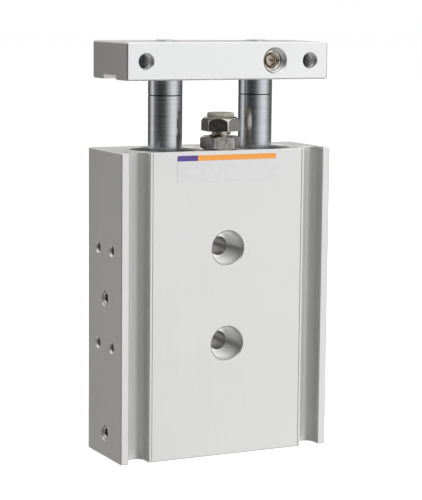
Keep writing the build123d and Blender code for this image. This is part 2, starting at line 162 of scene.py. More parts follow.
class HardwareSizes(bpy.types.PropertyGroup):
    """Sizes of the fasteners, plugs and label that are modelled here."""

    nut_face: share("Nut face", 0.95, "Round face of the lock nut as a share of its flats")
    nut_slope: angle("Nut slope", 30, "Slope of the lock nut's turned corners")
    head_crown: length("Head crown", 0.0022, "Rounding of the bolt head's corners at its top")
    corner_round: length("Corner round", 0.00022, "Rounding of a hexagon's upright corners")
    edge_round: length("Edge round", 0.00006, "Rounding of the sharp edges of turned steel")
    bolt_pitch: length("Bolt pitch", 0.001, "Thread pitch of the bumper bolt")
    bolt_diameter: length("Bolt diameter", 0.0059, "Diameter over the thread of the bumper bolt")
    nut_bore_gap: length("Nut bore gap", 0.00005, "Air between the nut's bore and the bolt")
    screw_chamfer: length("Screw chamfer", 0.0002, "Chamfer at the face of the set screw")
    screw_mouth: length("Screw mouth", 0.00235, "Radius of the turned mouth of its socket")
    screw_flats: length("Screw socket", 0.0035, "Width across flats of the set screw's socket")
    screw_socket: length("Screw socket depth", 0.0026, "Depth of the set screw's socket")
    plug_mouth: length("Plug mouth", 0.0016, "Radius of the turned mouth of a plug's socket")
    plug_flats: length("Plug socket", 0.0025, "Width across flats of a port plug's socket")
    plug_socket: length("Plug socket depth", 0.0018, "Depth of a port plug's socket")
    bumper_stem: length("Bumper stem", 0.005, "Diameter of the stem that holds the bumper")
    bumper_teeth: IntProperty(
        name="Bumper teeth", description="Fine teeth round the rim of the bolt's bumper", default=44,
        min=8, max=120,
    )
    bumper_tooth: length("Bumper tooth", 0.00016, "Depth of the teeth round the bumper")
    label_width: length("Label width", 0.0303, "Width of the label on the front face")
    label_height: length("Label height", 0.0075, "Height of the label on the front face")
    label_corner: length("Label corner", 0.0005, "Rounding of the label's corners")
    label_side: length("Label side", -0.00053, "Middle of the label along X")
    label_drop: length("Label drop", 0.0011, "Distance of the label from the block's top")
    label_stripe: length("Label stripe", 0.0015, "Height of the coloured stripe on the label")
    label_accent: share("Label accent", 0.204, "Share of the stripe that has the accent colour")
    label_film: length("Label film", 0.00006, "Thickness of the label")


class FinishColours(bpy.types.PropertyGroup):
    """Base colours of the materials."""

    block: colour("Anodised block", (0.82, 0.82, 0.81), "Clear anodised extrusion")
    plate: colour("Anodised plate", (0.86, 0.86, 0.86), "Clear anodised end plate")
    # Also laid on the anodised chamfers that slant up or down, partly cut metal and partly painted
    # highlight
    cut_metal: colour("Cut aluminium", (0.96, 0.96, 0.95), "Chamfers and bored surfaces")
    # Painted shade: the slot walls are made darker than the block to stand for the shade inside the
    # slots
    wall: colour("Slot wall", (0.66, 0.66, 0.65), "Upright walls of the sensor slots")
    # Painted shade for the depth of the block's tapped holes and ports
    deep_hole_shade: colour("Deep hole", (0.08, 0.08, 0.085), "Depth of the block's tapped holes")
    # Painted shade: the next two colours darken the plate's tapped holes and the wall of the set
    # screw's hole
    tapped: colour("Plate hole", (0.50, 0.50, 0.51), "Depth of the plate's tapped holes")
    recess: colour("Screw recess", (0.30, 0.30, 0.30), "Wall of the set screw's hole")
    # Painted shade: the next two colours darken the sockets of the set screw and the port plugs
    screw_socket_shade: colour("Screw socket", (0.64, 0.57, 0.47), "Depth of the set screw's socket")
    socket: colour("Plug socket", (0.34, 0.33, 0.31), "Depth of the port plugs' sockets")
    # Partly the bright faced finish and partly painted light: the counterbore floors are made near
    # white
    faced_floor_light: colour("Counterbore floor", (1.0, 1.0, 0.99), "Faced floors of the counterbores")
    bored: colour("Counterbore wall", (0.84, 0.84, 0.83), "Walls of the counterbores")
    # Painted shade: the inside of the through holes is made darker
    drilled_bore_shade: colour("Drilled hole", (0.56, 0.56, 0.55), "Inside of the through holes")
    cover: colour("Cover aluminium", (0.50, 0.50, 0.49), "Rod covers, head covers and pistons")
    chrome: colour("Hard chrome", (0.60, 0.61, 0.64), "Ground and plated rods")
    # Painted shade: the dark line in the groove where an end piece meets its rod
    joint: colour("Rod joint", (0.06, 0.06, 0.065), "Fine line where an end piece meets its rod")
    # Painted light: the stud ends above the plate are made paler
    tip: colour("Stud tip", (0.90, 0.90, 0.90), "Stud ends above the plate")
    nickel: colour("Nickel plate", (0.76, 0.73, 0.67), "Bolt, screws and plugs")
    nut: colour("Lock nut", (0.50, 0.475, 0.44), "Duller plating of the lock nut")
    spring: colour("Spring steel", (0.16, 0.155, 0.15), "Snap rings with a phosphate skin")
    bronze: colour("Bearing bronze", (0.55, 0.36, 0.18), "Rod bushes")
    rubber: colour("Seal rubber", (0.022, 0.022, 0.024), "Seals and O-rings")
    urethane: colour("Urethane", (0.46, 0.44, 0.36), "Bumpers")
    resin: colour("Wear resin", (0.62, 0.52, 0.36), "Wear rings of the pistons")
    magnet: colour("Magnet", (0.10, 0.095, 0.09), "Sensor magnets in the pistons")
    film: colour("Label film", (0.72, 0.72, 0.72), "Bare film of the label")
    stripe: colour("Label stripe", (0.86, 0.36, 0.075), "Long part of the label's stripe")
    accent: colour("Label accent", (0.10, 0.068, 0.28), "Short part of the label's stripe")
    floor: colour("Floor", (0.86, 0.86, 0.86), "Studio floor")


class StudioSettings(bpy.types.PropertyGroup):
    """Camera, lamps and surroundings."""

    azimuth: angle("Camera azimuth", -26.42, "Turn of the camera round the cylinder")
    elevation: angle("Camera elevation", 7.75, "Height of the camera above the horizon")
    roll: angle("Camera roll", 0.55, "Tilt of the camera about its own axis")
    distance: length("Camera distance", 0.52132, "From the camera to the point it looks at")
    target_side: length("Target side", 0.00056, "The point the camera looks at, along X")
    target_height: length("Target height", 0.0564, "The point the camera looks at, along Z")
    lens: FloatProperty(
        name="Lens", description="Focal length on the sensor", default=132.88, unit="CAMERA",
        subtype="DISTANCE_CAMERA",
    )
    key_power: FloatProperty(
        name="Key power", description="Watts of the large lamp at the front right", default=13.0,
        subtype="POWER", unit="POWER",
    )
    fill_power: FloatProperty(
        name="Fill power", description="Watts of the soft lamp at the left", default=3.4,
        subtype="POWER", unit="POWER",
    )
    top_power: FloatProperty(
        name="Top power", description="Watts of the lamp above", default=6.8, subtype="POWER",
        unit="POWER",
    )
    ambient: share("Ambient", 0.38, "Strength of the even light of the room")
    wall_radius: length("Wall radius", 1.6, "Radius of the round wall that the metal reflects")
    wall_height: length("Wall height", 1.5, "Height of that wall above and below the floor")
    wall_change: length("Wall change", 0.22, "Height at which the wall's upper bands begin")
    pit_glow: share("Pit glow", 0.4, "Brightness that downward faces reflect")
    floor_radius: length("Floor radius", 6.0, "Radius of the floor")
    floor_glow: share("Floor glow", 0.66, "How far the floor stays white in the picture")


# Reading the frame


def mount(name):
    """The record's mount of this name, with its place, axis and sizes."""
    return next(m for m in frame["record"]["mounts"] if m["name"] == name)


def hexagon_corner(node, x, y):
    """Reach and angle of one corner of a node's hexagon about an upright axis."""
    reach = max(
        (Vector((v.co.x - x, v.co.y - y)) for v in frame["nodes"][node].data.vertices),
        key=lambda offset: offset.length,
    )
    return reach.length, math.atan2(reach.y, reach.x)


def heights_beyond(node, x, y, reach):
    """Heights of a node's points that lie further than this from an upright axis."""
    vertices = frame["nodes"][node].data.vertices
    return [v.co.z for v in vertices if Vector((v.co.x - x, v.co.y - y)).length > reach]


# Modelling helpers


def deselect():
    """Leaves nothing selected, so that the next operator acts on its own piece alone."""
    bpy.ops.object.select_all(action="DESELECT")


def activate(piece):
    """Selects one piece alone and makes it the active one."""
    deselect()
    piece.select_set(True)
    bpy.context.view_layer.objects.active = piece


def start_piece(name):
    """Names the primitive that was just added."""
    piece = bpy.context.object
    piece.name = piece.data.name = name
    return piece


def modify(piece, kind, **values):
    """Adds one modifier, sets it and applies it."""
    modifier = piece.modifiers.new(kind.title(), kind)
    for key, value in values.items():
        setattr(modifier, key, value)
    activate(piece)
    bpy.ops.object.modifier_apply(modifier=modifier.name)


def carve(piece, tool, operation="DIFFERENCE"):
    """Cuts, joins or intersects a piece with a tool, which is then removed."""
    modify(piece, "BOOLEAN", operation=operation, solver="EXACT", object=tool)
    mesh = tool.data
    bpy.data.objects.remove(tool)
    bpy.data.meshes.remove(mesh)


def settle(piece):
    """Puts the object's place and turn into its mesh, so that the object lies at the origin."""
    activate(piece)
    bpy.ops.object.transform_apply(location=True, rotation=True, scale=True)


def clean_up(piece, smooth_degrees=35.0, outward=False):
    """Merges doubles, shades the round faces smooth and leaves the sharp edges crisp."""
    edit(piece)
    bpy.ops.mesh.select_all(action="SELECT")
    bpy.ops.mesh.remove_doubles(threshold=MERGE_DISTANCE)
    bpy.ops.mesh.dissolve_degenerate(threshold=MERGE_DISTANCE)
    if outward:
        bpy.ops.mesh.normals_make_consistent(inside=False)
    leave_edit()
    bpy.ops.object.shade_smooth_by_angle(angle=math.radians(smooth_degrees))


def keep_flat(piece):
    """Lets the large faces keep their own direction beside the rounded edges."""
    modify(piece, "WEIGHTED_NORMAL", mode="FACE_AREA", weight=100, keep_sharp=True)


def round_edges(piece, width):
    """Rounds the sharp edges of a finished shape."""
    modify(
        piece, "BEVEL", width=width, segments=2, limit_method="ANGLE",
        angle_limit=math.radians(25), use_clamp_overlap=True, miter_outer="MITER_ARC",
    )


def select_faces(piece, test):
    """In edit mode, selects the faces whose middle and normal pass the test."""
    mesh = bmesh.from_edit_mesh(piece.data)
    for face in mesh.faces:
        face.select_set(False)
    for face in mesh.faces:
        if test(face.calc_center_median(), face.normal):
            face.select_set(True)
    bmesh.update_edit_mesh(piece.data)


def select_edges(piece, test):
    """In edit mode, selects the edges whose two ends pass the test."""
    mesh = bmesh.from_edit_mesh(piece.data)
    for edge in mesh.edges:
        edge.select_set(False)
    for edge in mesh.edges:
        if test(edge.verts[0].co, edge.verts[1].co):
            edge.select_set(True)
    bmesh.update_edit_mesh(piece.data)


def edit(piece, select_mode="FACE"):
    """Enters edit mode on one piece, to select its faces, edges or points."""
    activate(piece)
    bpy.ops.object.mode_set(mode="EDIT")
    bpy.ops.mesh.select_mode(type=select_mode)


def leave_edit():
    """Goes back to object mode, which keeps what was edited."""
    bpy.ops.object.mode_set(mode="OBJECT")


def cylinder(name, radius, low, high, x=0.0, y=0.0, vertices=ROUND_STEPS, turn=0.0):
    """Upright cylinder or prism."""
    deselect()
    bpy.ops.mesh.primitive_cylinder_add(
        vertices=vertices, radius=radius, depth=high - low, location=(x, y, (low + high) / 2),
        rotation=(0, 0, turn),
    )
    piece = start_piece(name)
    settle(piece)
    return piece


def hexagon(name, low, high, x, y, reach, corner_angle):
    """Hexagonal prism with rounded upright corners."""
    corner_round = bpy.context.scene.hardware_sizes.corner_round
    quarter = math.pi / 2
    piece = cylinder(name, reach, low, high, x, y, HEX_CORNERS, corner_angle - quarter)
    edit(piece, "EDGE")
    select_edges(piece, lambda a, b: abs(a.z - b.z) > (high - low) / 2)
    bpy.ops.mesh.bevel(offset=corner_round, segments=4, affect="EDGES")
    leave_edit()
    return piece


def turned_ends(name, low, high, x, y, reach, face, slope):
    """Round envelope whose two ends are turned down to a smaller face."""
    fall = (reach - face) * math.tan(slope)
    envelope = cylinder(name, reach, low + fall, high - fall, x, y)
    edit(envelope)
    for side in (1, -1):
        select_faces(envelope, lambda place, normal, side=side: normal.z * side > 0.9)
        bpy.ops.mesh.extrude_region_move(TRANSFORM_OT_translate={"value": (0, 0, side * fall)})
        shrink = face / reach
        bpy.ops.transform.resize(value=(shrink, shrink, 1), center_override=(x, y, 0))
    leave_edit()
    return envelope


def crowned_end(name, low, high, x, y, reach, crown):
    """Round envelope whose upper edge is rounded off."""
    envelope = cylinder(name, reach, low, high, x, y)
    edit(envelope, "EDGE")
    select_edges(envelope, lambda a, b: min(a.z, b.z) > high - MERGE_DISTANCE)
    bpy.ops.mesh.bevel(offset=crown, segments=14, affect="EDGES")
    leave_edit()
    return envelope


def thread(name, radius, pitch, low, high, x, y):
    """Upright threaded rod, closed at both ends: one pitch of its outline, wound upwards."""
    root = radius - THREAD_DEPTH * pitch
    root_half, crest_half = pitch / 8, pitch / 16
    crest_middle = pitch / 2
    outline = (
        (root, 0), (root, root_half), (radius, crest_middle - crest_half),
        (radius, crest_middle + crest_half), (root, pitch - root_half), (root, pitch),
    )
    deselect()
    bpy.ops.mesh.primitive_circle_add(vertices=len(outline), location=(x, y, low - pitch))
    piece = start_piece(name)
    edit(piece, "EDGE")
    shape = bmesh.from_edit_mesh(piece.data)
    for vertex, (reach, height) in zip(shape.verts, outline):
        vertex.co = (reach, 0, height)
    bmesh.update_edit_mesh(piece.data)
    select_edges(piece, lambda a, b: abs(a.z - b.z) > pitch - MERGE_DISTANCE)
    bpy.ops.mesh.delete(type="EDGE")
    leave_edit()
    turns = math.ceil((high - low) / pitch) + 2
    modify(
        piece, "SCREW", axis="Z", angle=math.tau, screw_offset=pitch, iterations=turns,
        steps=THREAD_STEPS, render_steps=THREAD_STEPS, use_merge_vertices=True,
        merge_threshold=MERGE_DISTANCE,
    )
    settle(piece)
    edit(piece)
    bpy.ops.mesh.select_all(action="SELECT")
    bpy.ops.mesh.remove_doubles(threshold=MERGE_DISTANCE)
    bpy.ops.mesh.fill_holes(sides=0)
    bpy.ops.mesh.normals_make_consistent(inside=False)
    leave_edit()
    carve(piece, cylinder(name + "_span", radius + pitch, low, high, x, y), "INTERSECT")
    return piece


def hand_over(piece, body, slot, finish, *nodes):
    """Dresses a finished piece, sets it on its body and lets it stand for its nodes."""
    piece.data.materials.clear()
    piece.data.materials.append(finish)
    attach(piece, body)
    if nodes:
        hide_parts(*nodes)


# Finishes


def opaque(base):
    """A base colour with full alpha, as shader sockets take it."""
    return (*base[:3], 1.0)


class Finish:
    """One material under construction: its shader, its coordinates and what drives them."""

    def __init__(self, name, base, metallic, roughness):
        self.material = bpy.data.materials.new(name)
        self.material.use_nodes = True
        self.tree = self.material.node_tree
        self.tree.nodes.clear()
        self.output = self.tree.nodes.new("ShaderNodeOutputMaterial")
        self.shader = self.tree.nodes.new("ShaderNodeBsdfPrincipled")
        self.link(self.shader.outputs["BSDF"], self.output.inputs["Surface"])
        self.place = self.tree.nodes.new("ShaderNodeTexCoord").outputs["Object"]
        self.shader.inputs["Metallic"].default_value = metallic
        self.shader.inputs["Roughness"].default_value = roughness
        self.base = opaque(base)
        self.roughness = roughness
        self.normal = None

    def link(self, source, target):
        """Links an output to an input."""
        self.tree.links.new(source, target)

    def feed(self, target, value):
        """Sets a socket to a number or links it to another socket."""
        if isinstance(value, bpy.types.NodeSocket):
            self.link(value, target)
        else:
            target.default_value = value

    def math(self, operation, first, second=0.0, third=0.0):
        """Result of a sum with numbers or sockets."""
        node = self.tree.nodes.new("ShaderNodeMath")
        node.operation = operation
        for socket, value in zip(node.inputs, (first, second, third)):
            self.feed(socket, value)
        return node.outputs[0]

    def vector(self, operation, first, second=(0, 0, 0)):
        """Result of a sum with vectors, or their length."""
        node = self.tree.nodes.new("ShaderNodeVectorMath")
        node.operation = operation
        self.feed(node.inputs[0], first)
        self.feed(node.inputs[1], second)
        return node.outputs["Value" if operation == "LENGTH" else "Vector"]

    def split(self, source):
        """The three parts of a vector."""
        node = self.tree.nodes.new("ShaderNodeSeparateXYZ")
        self.link(source, node.inputs[0])
        return node.outputs[0], node.outputs[1], node.outputs[2]

    def noise(self, size, detail=2.0, stretch=None):
        """Noise whose spots are about this size in metres, longer where an axis is stretched."""
        node = self.tree.nodes.new("ShaderNodeTexNoise")
        node.inputs["Scale"].default_value = 1.0 / size
        node.inputs["Detail"].default_value = detail
        place = self.vector("MULTIPLY", self.place, stretch) if stretch else self.place
        self.link(place, node.inputs["Vector"])
        return node.outputs["Fac"]

    def rings(self, distance, size):
        """Noise that changes with one distance only, as a turning tool leaves it."""
        node = self.tree.nodes.new("ShaderNodeTexNoise")
        node.noise_dimensions = "1D"
        node.inputs["Scale"].default_value = 1.0 / size
        node.inputs["Detail"].default_value = 2.0
        self.feed(node.inputs["W"], distance)
        return node.outputs["Fac"]

    def ramp(self, value, low, high, to_low=0.0, to_high=1.0):
        """Straight change of a value from one span to another, held at its ends."""
        node = self.tree.nodes.new("ShaderNodeMapRange")
        for key, number in (
            ("Value", value), ("From Min", low), ("From Max", high), ("To Min", to_low),
            ("To Max", to_high),
        ):
            self.feed(node.inputs[key], number)
        return node.outputs["Result"]

    def mix_colour(self, factor, first, second, blend="MIX"):
        """One colour laid over another as far as the factor says."""
        node = self.tree.nodes.new("ShaderNodeMix")
        node.data_type = "RGBA"
        node.blend_type = blend
        self.feed(node.inputs["Factor"], factor)
        colours = [s for s in node.inputs if s.type == "RGBA"]
        for socket, value in zip(colours, (first, second)):
            self.feed(socket, value)
        return next(s for s in node.outputs if s.type == "RGBA")

    def tint(self, factor, other):
        """Lets another colour show where the factor is high."""
        self.base = self.mix_colour(factor, self.base, opaque(other))

    def shade(self, value, low, high):
        """Multiplies the colour by a grey between two levels."""
        grey = self.ramp(value, 0.3, 0.7, low, high)
        self.base = self.mix_colour(1.0, self.base, grey, "MULTIPLY")

    def roughen(self, value, low, high):
        """Lets the roughness follow a noise between two levels."""
        self.roughness = self.ramp(value, 0.3, 0.7, low, high)

    def roughen_where(self, factor, roughness):
        """Goes over to another roughness where the factor is high."""
        change = self.math("SUBTRACT", roughness, self.roughness)
        self.roughness = self.math("MULTIPLY_ADD", change, factor, self.roughness)

    def bump(self, height, depth, strength=1.0):
        """Adds relief whose full height is this depth in metres."""
        node = self.tree.nodes.new("ShaderNodeBump")
        node.inputs["Distance"].default_value = depth
        self.feed(node.inputs["Strength"], strength)
        self.link(height, node.inputs["Height"])
        if self.normal is not None:
            self.link(self.normal, node.inputs["Normal"])
        self.normal = node.outputs["Normal"]

    def done(self):
        """Joins what was gathered to the shader."""
        self.feed(self.shader.inputs["Base Color"], self.base)
        self.feed(self.shader.inputs["Roughness"], self.roughness)
        if self.normal is not None:
            self.link(self.normal, self.shader.inputs["Normal"])
        return self.material


def face_masks(finish):
    """How far a face looks along each axis, and where a chamfer looks up or down at a slant."""
    node = finish.tree.nodes.new("ShaderNodeTexCoord")
    x, y, z = finish.split(finish.vector("ABSOLUTE", node.outputs["Normal"]))
    slanted = finish.math("MULTIPLY", finish.ramp(z, 0.3, 0.5), finish.ramp(z, 0.97, 0.9))
    return (x, y, z), slanted


def fold(finish, middle, offset, axis):
    """Distance from the nearest of some mirrored hole axes, and how far out along them."""
    folded = finish.vector("ABSOLUTE", finish.vector("SUBTRACT", finish.place, middle))
    flat = tuple(0.0 if number == axis else 1.0 for number in range(3))
    away = finish.vector("MULTIPLY", finish.vector("SUBTRACT", folded, offset), flat)
    return finish.vector("LENGTH", away), finish.split(folded)[axis]


def inside_holes(finish, away, radius, depth, bottom=NO_BOTTOM):
    """1 within this radius of a hole's axis, between its mouth and this depth."""
    near = finish.math("LESS_THAN", away, radius)
    near = finish.math("MULTIPLY", near, finish.math("LESS_THAN", depth, bottom))
    return finish.math("MULTIPLY", near, finish.math("GREATER_THAN", depth, MOUTH_DEPTH))


def paint_depth_shade(finish, inside, depth, shade, dark):
    """Paints shade into the inside of holes, darker and darker between two depths."""
    finish.tint(finish.math("MULTIPLY", inside, finish.ramp(depth, *shade)), dark)


def anodised(name, base, roughness, grain_lines):
    """Clear anodised aluminium: fine blasted grain, faint die lines, brighter cut edges, partly bare
    cut metal and partly painted highlight.
    """
    colours = bpy.context.scene.finish_colours
    finish = Finish(name, base, 1.0, roughness)
    facing, slanted = face_masks(finish)
    grain = finish.noise(0.00022, detail=3.0)
    clouds = finish.noise(0.018, detail=2.0)
    lines = finish.noise(0.0005, detail=4.0, stretch=(1.0, 1.0, grain_lines))
    finish.shade(grain, 0.985, 1.012)
    finish.shade(clouds, 0.985, 1.01)
    finish.shade(lines, 0.993, 1.006)
    finish.roughen(grain, roughness - 0.03, roughness + 0.03)
    ends = finish.ramp(facing[2], 0.9, 0.99)
    finish.roughen_where(finish.math("MULTIPLY", ends, 0.6), 0.38)
    # Partly cut metal and partly painted highlight on the chamfers that slant up or down
    finish.tint(finish.math("MULTIPLY", slanted, 0.8), colours.cut_metal)
    finish.roughen_where(finish.math("MULTIPLY", slanted, 0.6), 0.3)
    finish.bump(grain, 0.000004)
    return finish, facing


def cut_counterbores(finish, facing):
    """Through holes: duller walls, floors with the tool's rings and painted light, bores darkened
    with painted shade.
    """
    colours = bpy.context.scene.finish_colours
    pattern = mount("block_through_holes")
    drill = pattern["dims"]["hole_r_mm"] * MM
    middle = (0, 0, pattern["pos_m"][2])
    away, out = fold(finish, middle, (0, 0, pattern["dims"]["spacing_y_mm"] * MM / 2), 1)
    depth = finish.math("SUBTRACT", HOUSING_HIGH.y, out)
    inside = inside_holes(finish, away, 2 * drill, depth)
    floor = finish.math("MULTIPLY", inside, finish.ramp(facing[1], 0.9, 0.98))
    finish.tint(inside, colours.bored)
    # Partly faced finish and partly painted light on the counterbore floors
    finish.tint(floor, colours.faced_floor_light)
    finish.roughen_where(inside, 0.32)
    finish.roughen_where(floor, 0.2)
    rings = finish.rings(away, TOOL_STEP)
    wave = finish.math("SINE", finish.math("MULTIPLY", away, math.tau / TOOL_STEP))
    wave = finish.math("ADD", wave, finish.ramp(rings, 0.3, 0.7, -0.8, 0.8))
    marks = finish.ramp(wave, -1.2, 0.4, 0.86, 1.0)
    marked = finish.mix_colour(1.0, finish.base, marks, "MULTIPLY")
    finish.base = finish.mix_colour(floor, finish.base, marked)
    finish.bump(rings, 0.000004, finish.math("MULTIPLY", floor, 0.5))
    bore = finish.math("LESS_THAN", away, drill + MOUTH_DEPTH)
    # Painted shade in the bores of the through holes
    finish.tint(finish.math("MULTIPLY", inside, bore), colours.drilled_bore_shade)


def cut_side_holes(finish):
    """Tapped holes and ports of the two sides, with painted shade in their depth."""
    colours = bpy.context.scene.finish_colours
    threads, low, high = (
        mount(name) for name in ("left_side_threads", "head_side_port", "rod_side_port")
    )
    across, along = (threads["dims"][key] * MM / 2 for key in ("spacing_x_mm", "spacing_y_mm"))
    ports = (low["pos_m"][2] + high["pos_m"][2]) / 2
    for level, offset, radius in (
        (threads["pos_m"][2], (0, across, along), THREAD_REACH * threads["dims"]["hole_r_mm"]),
        (ports, (0, 0, high["pos_m"][2] - ports), PORT_REACH * low["dims"]["r_mm"]),
    ):
        away, out = fold(finish, (0, 0, level), offset, 0)
        depth = finish.math("SUBTRACT", HOUSING_HIGH.x, out)
        inside = inside_holes(finish, away, radius * MM, depth, SIDE_HOLE_DEPTH)
        # Painted shade: the holes darken towards their depth
        paint_depth_shade(finish, inside, depth, SIDE_HOLE_SHADE, colours.deep_hole_shade)


def dull_and_shade_slots(finish, facing):
    """Sensor slots: duller than the outer faces, with painted shade on their darker upright walls."""
    colours = bpy.context.scene.finish_colours
    openings = frame["record"]["physics"]["openings"]
    low, high = next(o["box_m"] for o in openings if "right" in o["name"])
    x, y, _ = finish.split(finish.place)
    across = finish.math("ABSOLUTE", x)
    reach = 0.65 * (high[0] - low[0])
    slot = finish.math("COMPARE", across, (low[0] + high[0]) / 2, reach)
    lip = HOUSING_LOW.y + SLOT_LIP
    slot = finish.math("MULTIPLY", slot, finish.ramp(y, lip, lip + SLOT_LIP))
    slot = finish.math("MULTIPLY", slot, finish.math("LESS_THAN", y, high[1] + SLOT_SPARE))
    finish.roughen_where(slot, 0.48)
    # Painted shade: the walls that face sideways take the darker slot wall colour
    finish.tint(finish.math("MULTIPLY", slot, finish.ramp(facing[0], 0.5, 0.9)), colours.wall)


def block_finish():
    """Extruded block with its slots, counterbores, tapped holes and ports."""
    colours = bpy.context.scene.finish_colours
    finish, facing = anodised("anodised_block", colours.block, 0.44, 0.02)
    cut_counterbores(finish, facing)
    cut_side_holes(finish)
    dull_and_shade_slots(finish, facing)
    return finish.done()


def plate_finish():
    """End plate: smooth face, holes with painted shade that deepens with their depth."""
    colours = bpy.context.scene.finish_colours
    finish, _ = anodised("anodised_plate", colours.plate, 0.34, 1.0)
    level = (PLATE_LOW.z + PLATE_HIGH.z) / 2
    threads = mount("plate_front_threads")["dims"]
    depth = finish.math("SUBTRACT", finish.split(finish.place)[1], PLATE_LOW.y)
    bottom = 0.95 * (PLATE_HIGH.y - PLATE_LOW.y)
    half, thread_radius = threads["spacing_x_mm"] * MM / 2, threads["hole_r_mm"] * MM
    screw_middle = (SCREW_LOW.x + SCREW_HIGH.x) / 2
    screw_radius = (SCREW_HIGH.x - SCREW_LOW.x) / 2
    # Painted shade: the tapped holes and the set screw's hole darken with their depth
    for middle, side, radius, shade, dark in (
        (0, half, thread_radius, PLATE_HOLE_SHADE, colours.tapped),
        (screw_middle, 0, screw_radius, SCREW_HOLE_SHADE, colours.recess),
    ):
        away, _ = fold(finish, (middle, 0, level), (side, 0, 0), 1)
        inside = inside_holes(finish, away, PLATE_HOLE_REACH * radius, depth, bottom)
        paint_depth_shade(finish, inside, depth, shade, dark)
    return finish.done()


def thread_finish():
    """Bright crests of a cut thread."""
    colours = bpy.context.scene.finish_colours
    finish = Finish("cut_thread", colours.cut_metal, 1.0, 0.3)
    finish.shade(finish.noise(0.0004, detail=3.0), 0.9, 1.05)
    finish.roughen(finish.noise(0.0003), 0.26, 0.38)
    finish.bump(finish.noise(0.00015), 0.000004)
    return finish.done()


def cover_finish():
    """Turned aluminium of the covers and pistons."""
    colours = bpy.context.scene.finish_colours
    finish = Finish("turned_aluminium", colours.cover, 1.0, 0.34)
    marks = finish.noise(0.0002, detail=3.0, stretch=(0.05, 0.05, 1.0))
    finish.shade(marks, 0.93, 1.04)
    finish.roughen(finish.noise(0.0012), 0.3, 0.42)
    finish.bump(marks, 0.000006)
    return finish.done()


def ground_chrome(name):
    """Ground and hard chromed steel, with a painted shade line where an end piece meets its rod."""
    colours = bpy.context.scene.finish_colours
    finish = Finish(name, colours.chrome, 1.0, 0.2)
    lines = finish.noise(0.00025, detail=4.0, stretch=(0.02, 0.02, 1.0))
    bands = finish.noise(0.0018, detail=3.0, stretch=(0.01, 0.01, 1.0))
    finish.shade(lines, 0.93, 1.05)
    finish.shade(bands, 0.95, 1.04)
    finish.roughen(lines, 0.16, 0.25)
    finish.bump(lines, 0.000004)
    height = finish.split(finish.place)[2]
    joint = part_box("piston_rod_left")[1].z
    # Painted shade along the groove at the joint
    finish.tint(finish.math("COMPARE", height, joint, JOINT_LINE), colours.joint)
    return finish, height


def chrome_finish():
    """Rod, ground all over."""
    finish, _ = ground_chrome("hard_chrome")
    return finish.done()


def rod_end_finish():
    """End piece of a rod, with its tip above the plate made paler as painted light."""
    finish, height = ground_chrome("hard_chrome_end")
    # Painted light on the tip above the plate
    above = finish.math("GREATER_THAN", height, PLATE_HIGH.z - MOUTH_DEPTH)
    finish.tint(above, bpy.context.scene.finish_colours.tip)
    finish.roughen_where(above, 0.55)
    return finish.done()


def nickel_finish():
    """Nickel plated steel with a slightly uneven shine, and painted shade down its sockets."""
    colours = bpy.context.scene.finish_colours
    finish = Finish("nickel_plate", colours.nickel, 1.0, 0.12)
    finish.shade(finish.noise(0.0011, detail=3.0), 0.92, 1.04)
    finish.roughen(finish.noise(0.0006, detail=4.0), 0.08, 0.15)
    x, y, z = finish.split(finish.place)
    in_plate = finish.math("GREATER_THAN", z, PLATE_LOW.z)
    depth = finish.math("SUBTRACT", y, SCREW_LOW.y)
    # Painted shade down the set screw's socket and the plugs' sockets
    paint_depth_shade(finish, in_plate, depth, SCREW_SOCKET_SHADE, colours.screw_socket_shade)
    depth = finish.math("SUBTRACT", HOUSING_HIGH.x, finish.math("ABSOLUTE", x))
    in_side = finish.math("LESS_THAN", depth, SIDE_HOLE_DEPTH)
    paint_depth_shade(finish, in_side, depth, PLUG_SOCKET_SHADE, colours.socket)
    finish.bump(finish.noise(0.0009, detail=2.0), 0.000002)
    return finish.done()


def nut_finish():
    """Duller plated nut with the brush marks of its bar stock and brighter turned corners, partly
    plating and partly painted highlight.
    """
    colours = bpy.context.scene.finish_colours
    finish = Finish("plated_nut", colours.nut, 1.0, 0.3)
    marks = finish.noise(0.0005, detail=4.0, stretch=(1.0, 1.0, 0.25))
    finish.shade(marks, 0.7, 1.25)
    finish.shade(finish.noise(0.0016, detail=2.0), 0.8, 1.15)
    finish.roughen(marks, 0.24, 0.4)
    _, slanted = face_masks(finish)
    # Partly plating and partly painted highlight on the turned corners
    finish.tint(finish.math("MULTIPLY", slanted, 0.8), colours.nickel)
    finish.roughen_where(slanted, 0.18)
    finish.bump(marks, 0.000006)
    return finish.done()


def spring_finish():
    """Dark phosphated wire of the snap rings."""
    colours = bpy.context.scene.finish_colours
    finish = Finish("phosphated_spring_steel", colours.spring, 0.8, 0.42)
    finish.shade(finish.noise(0.0006, detail=4.0), 0.8, 1.15)
    finish.roughen(finish.noise(0.0004), 0.36, 0.52)
    finish.bump(finish.noise(0.00012), 0.000003)
    return finish.done()


def bronze_finish():
    """Sintered bronze of the rod bushes, with its pores."""
    colours = bpy.context.scene.finish_colours
    finish = Finish("sintered_bronze", colours.bronze, 1.0, 0.38)
    pores = finish.noise(0.00018, detail=2.0)
    finish.shade(pores, 0.8, 1.06)
    finish.roughen(pores, 0.3, 0.48)
    finish.bump(pores, 0.000008)
    return finish.done()


def rubber_finish():
    """Black rubber of the seals."""
    colours = bpy.context.scene.finish_colours
    finish = Finish("seal_rubber_black", colours.rubber, 0.0, 0.5)
    finish.shade(finish.noise(0.0009, detail=3.0), 0.85, 1.3)
    finish.roughen(finish.noise(0.0005), 0.42, 0.6)
    finish.bump(finish.noise(0.0002), 0.000006)
    return finish.done()


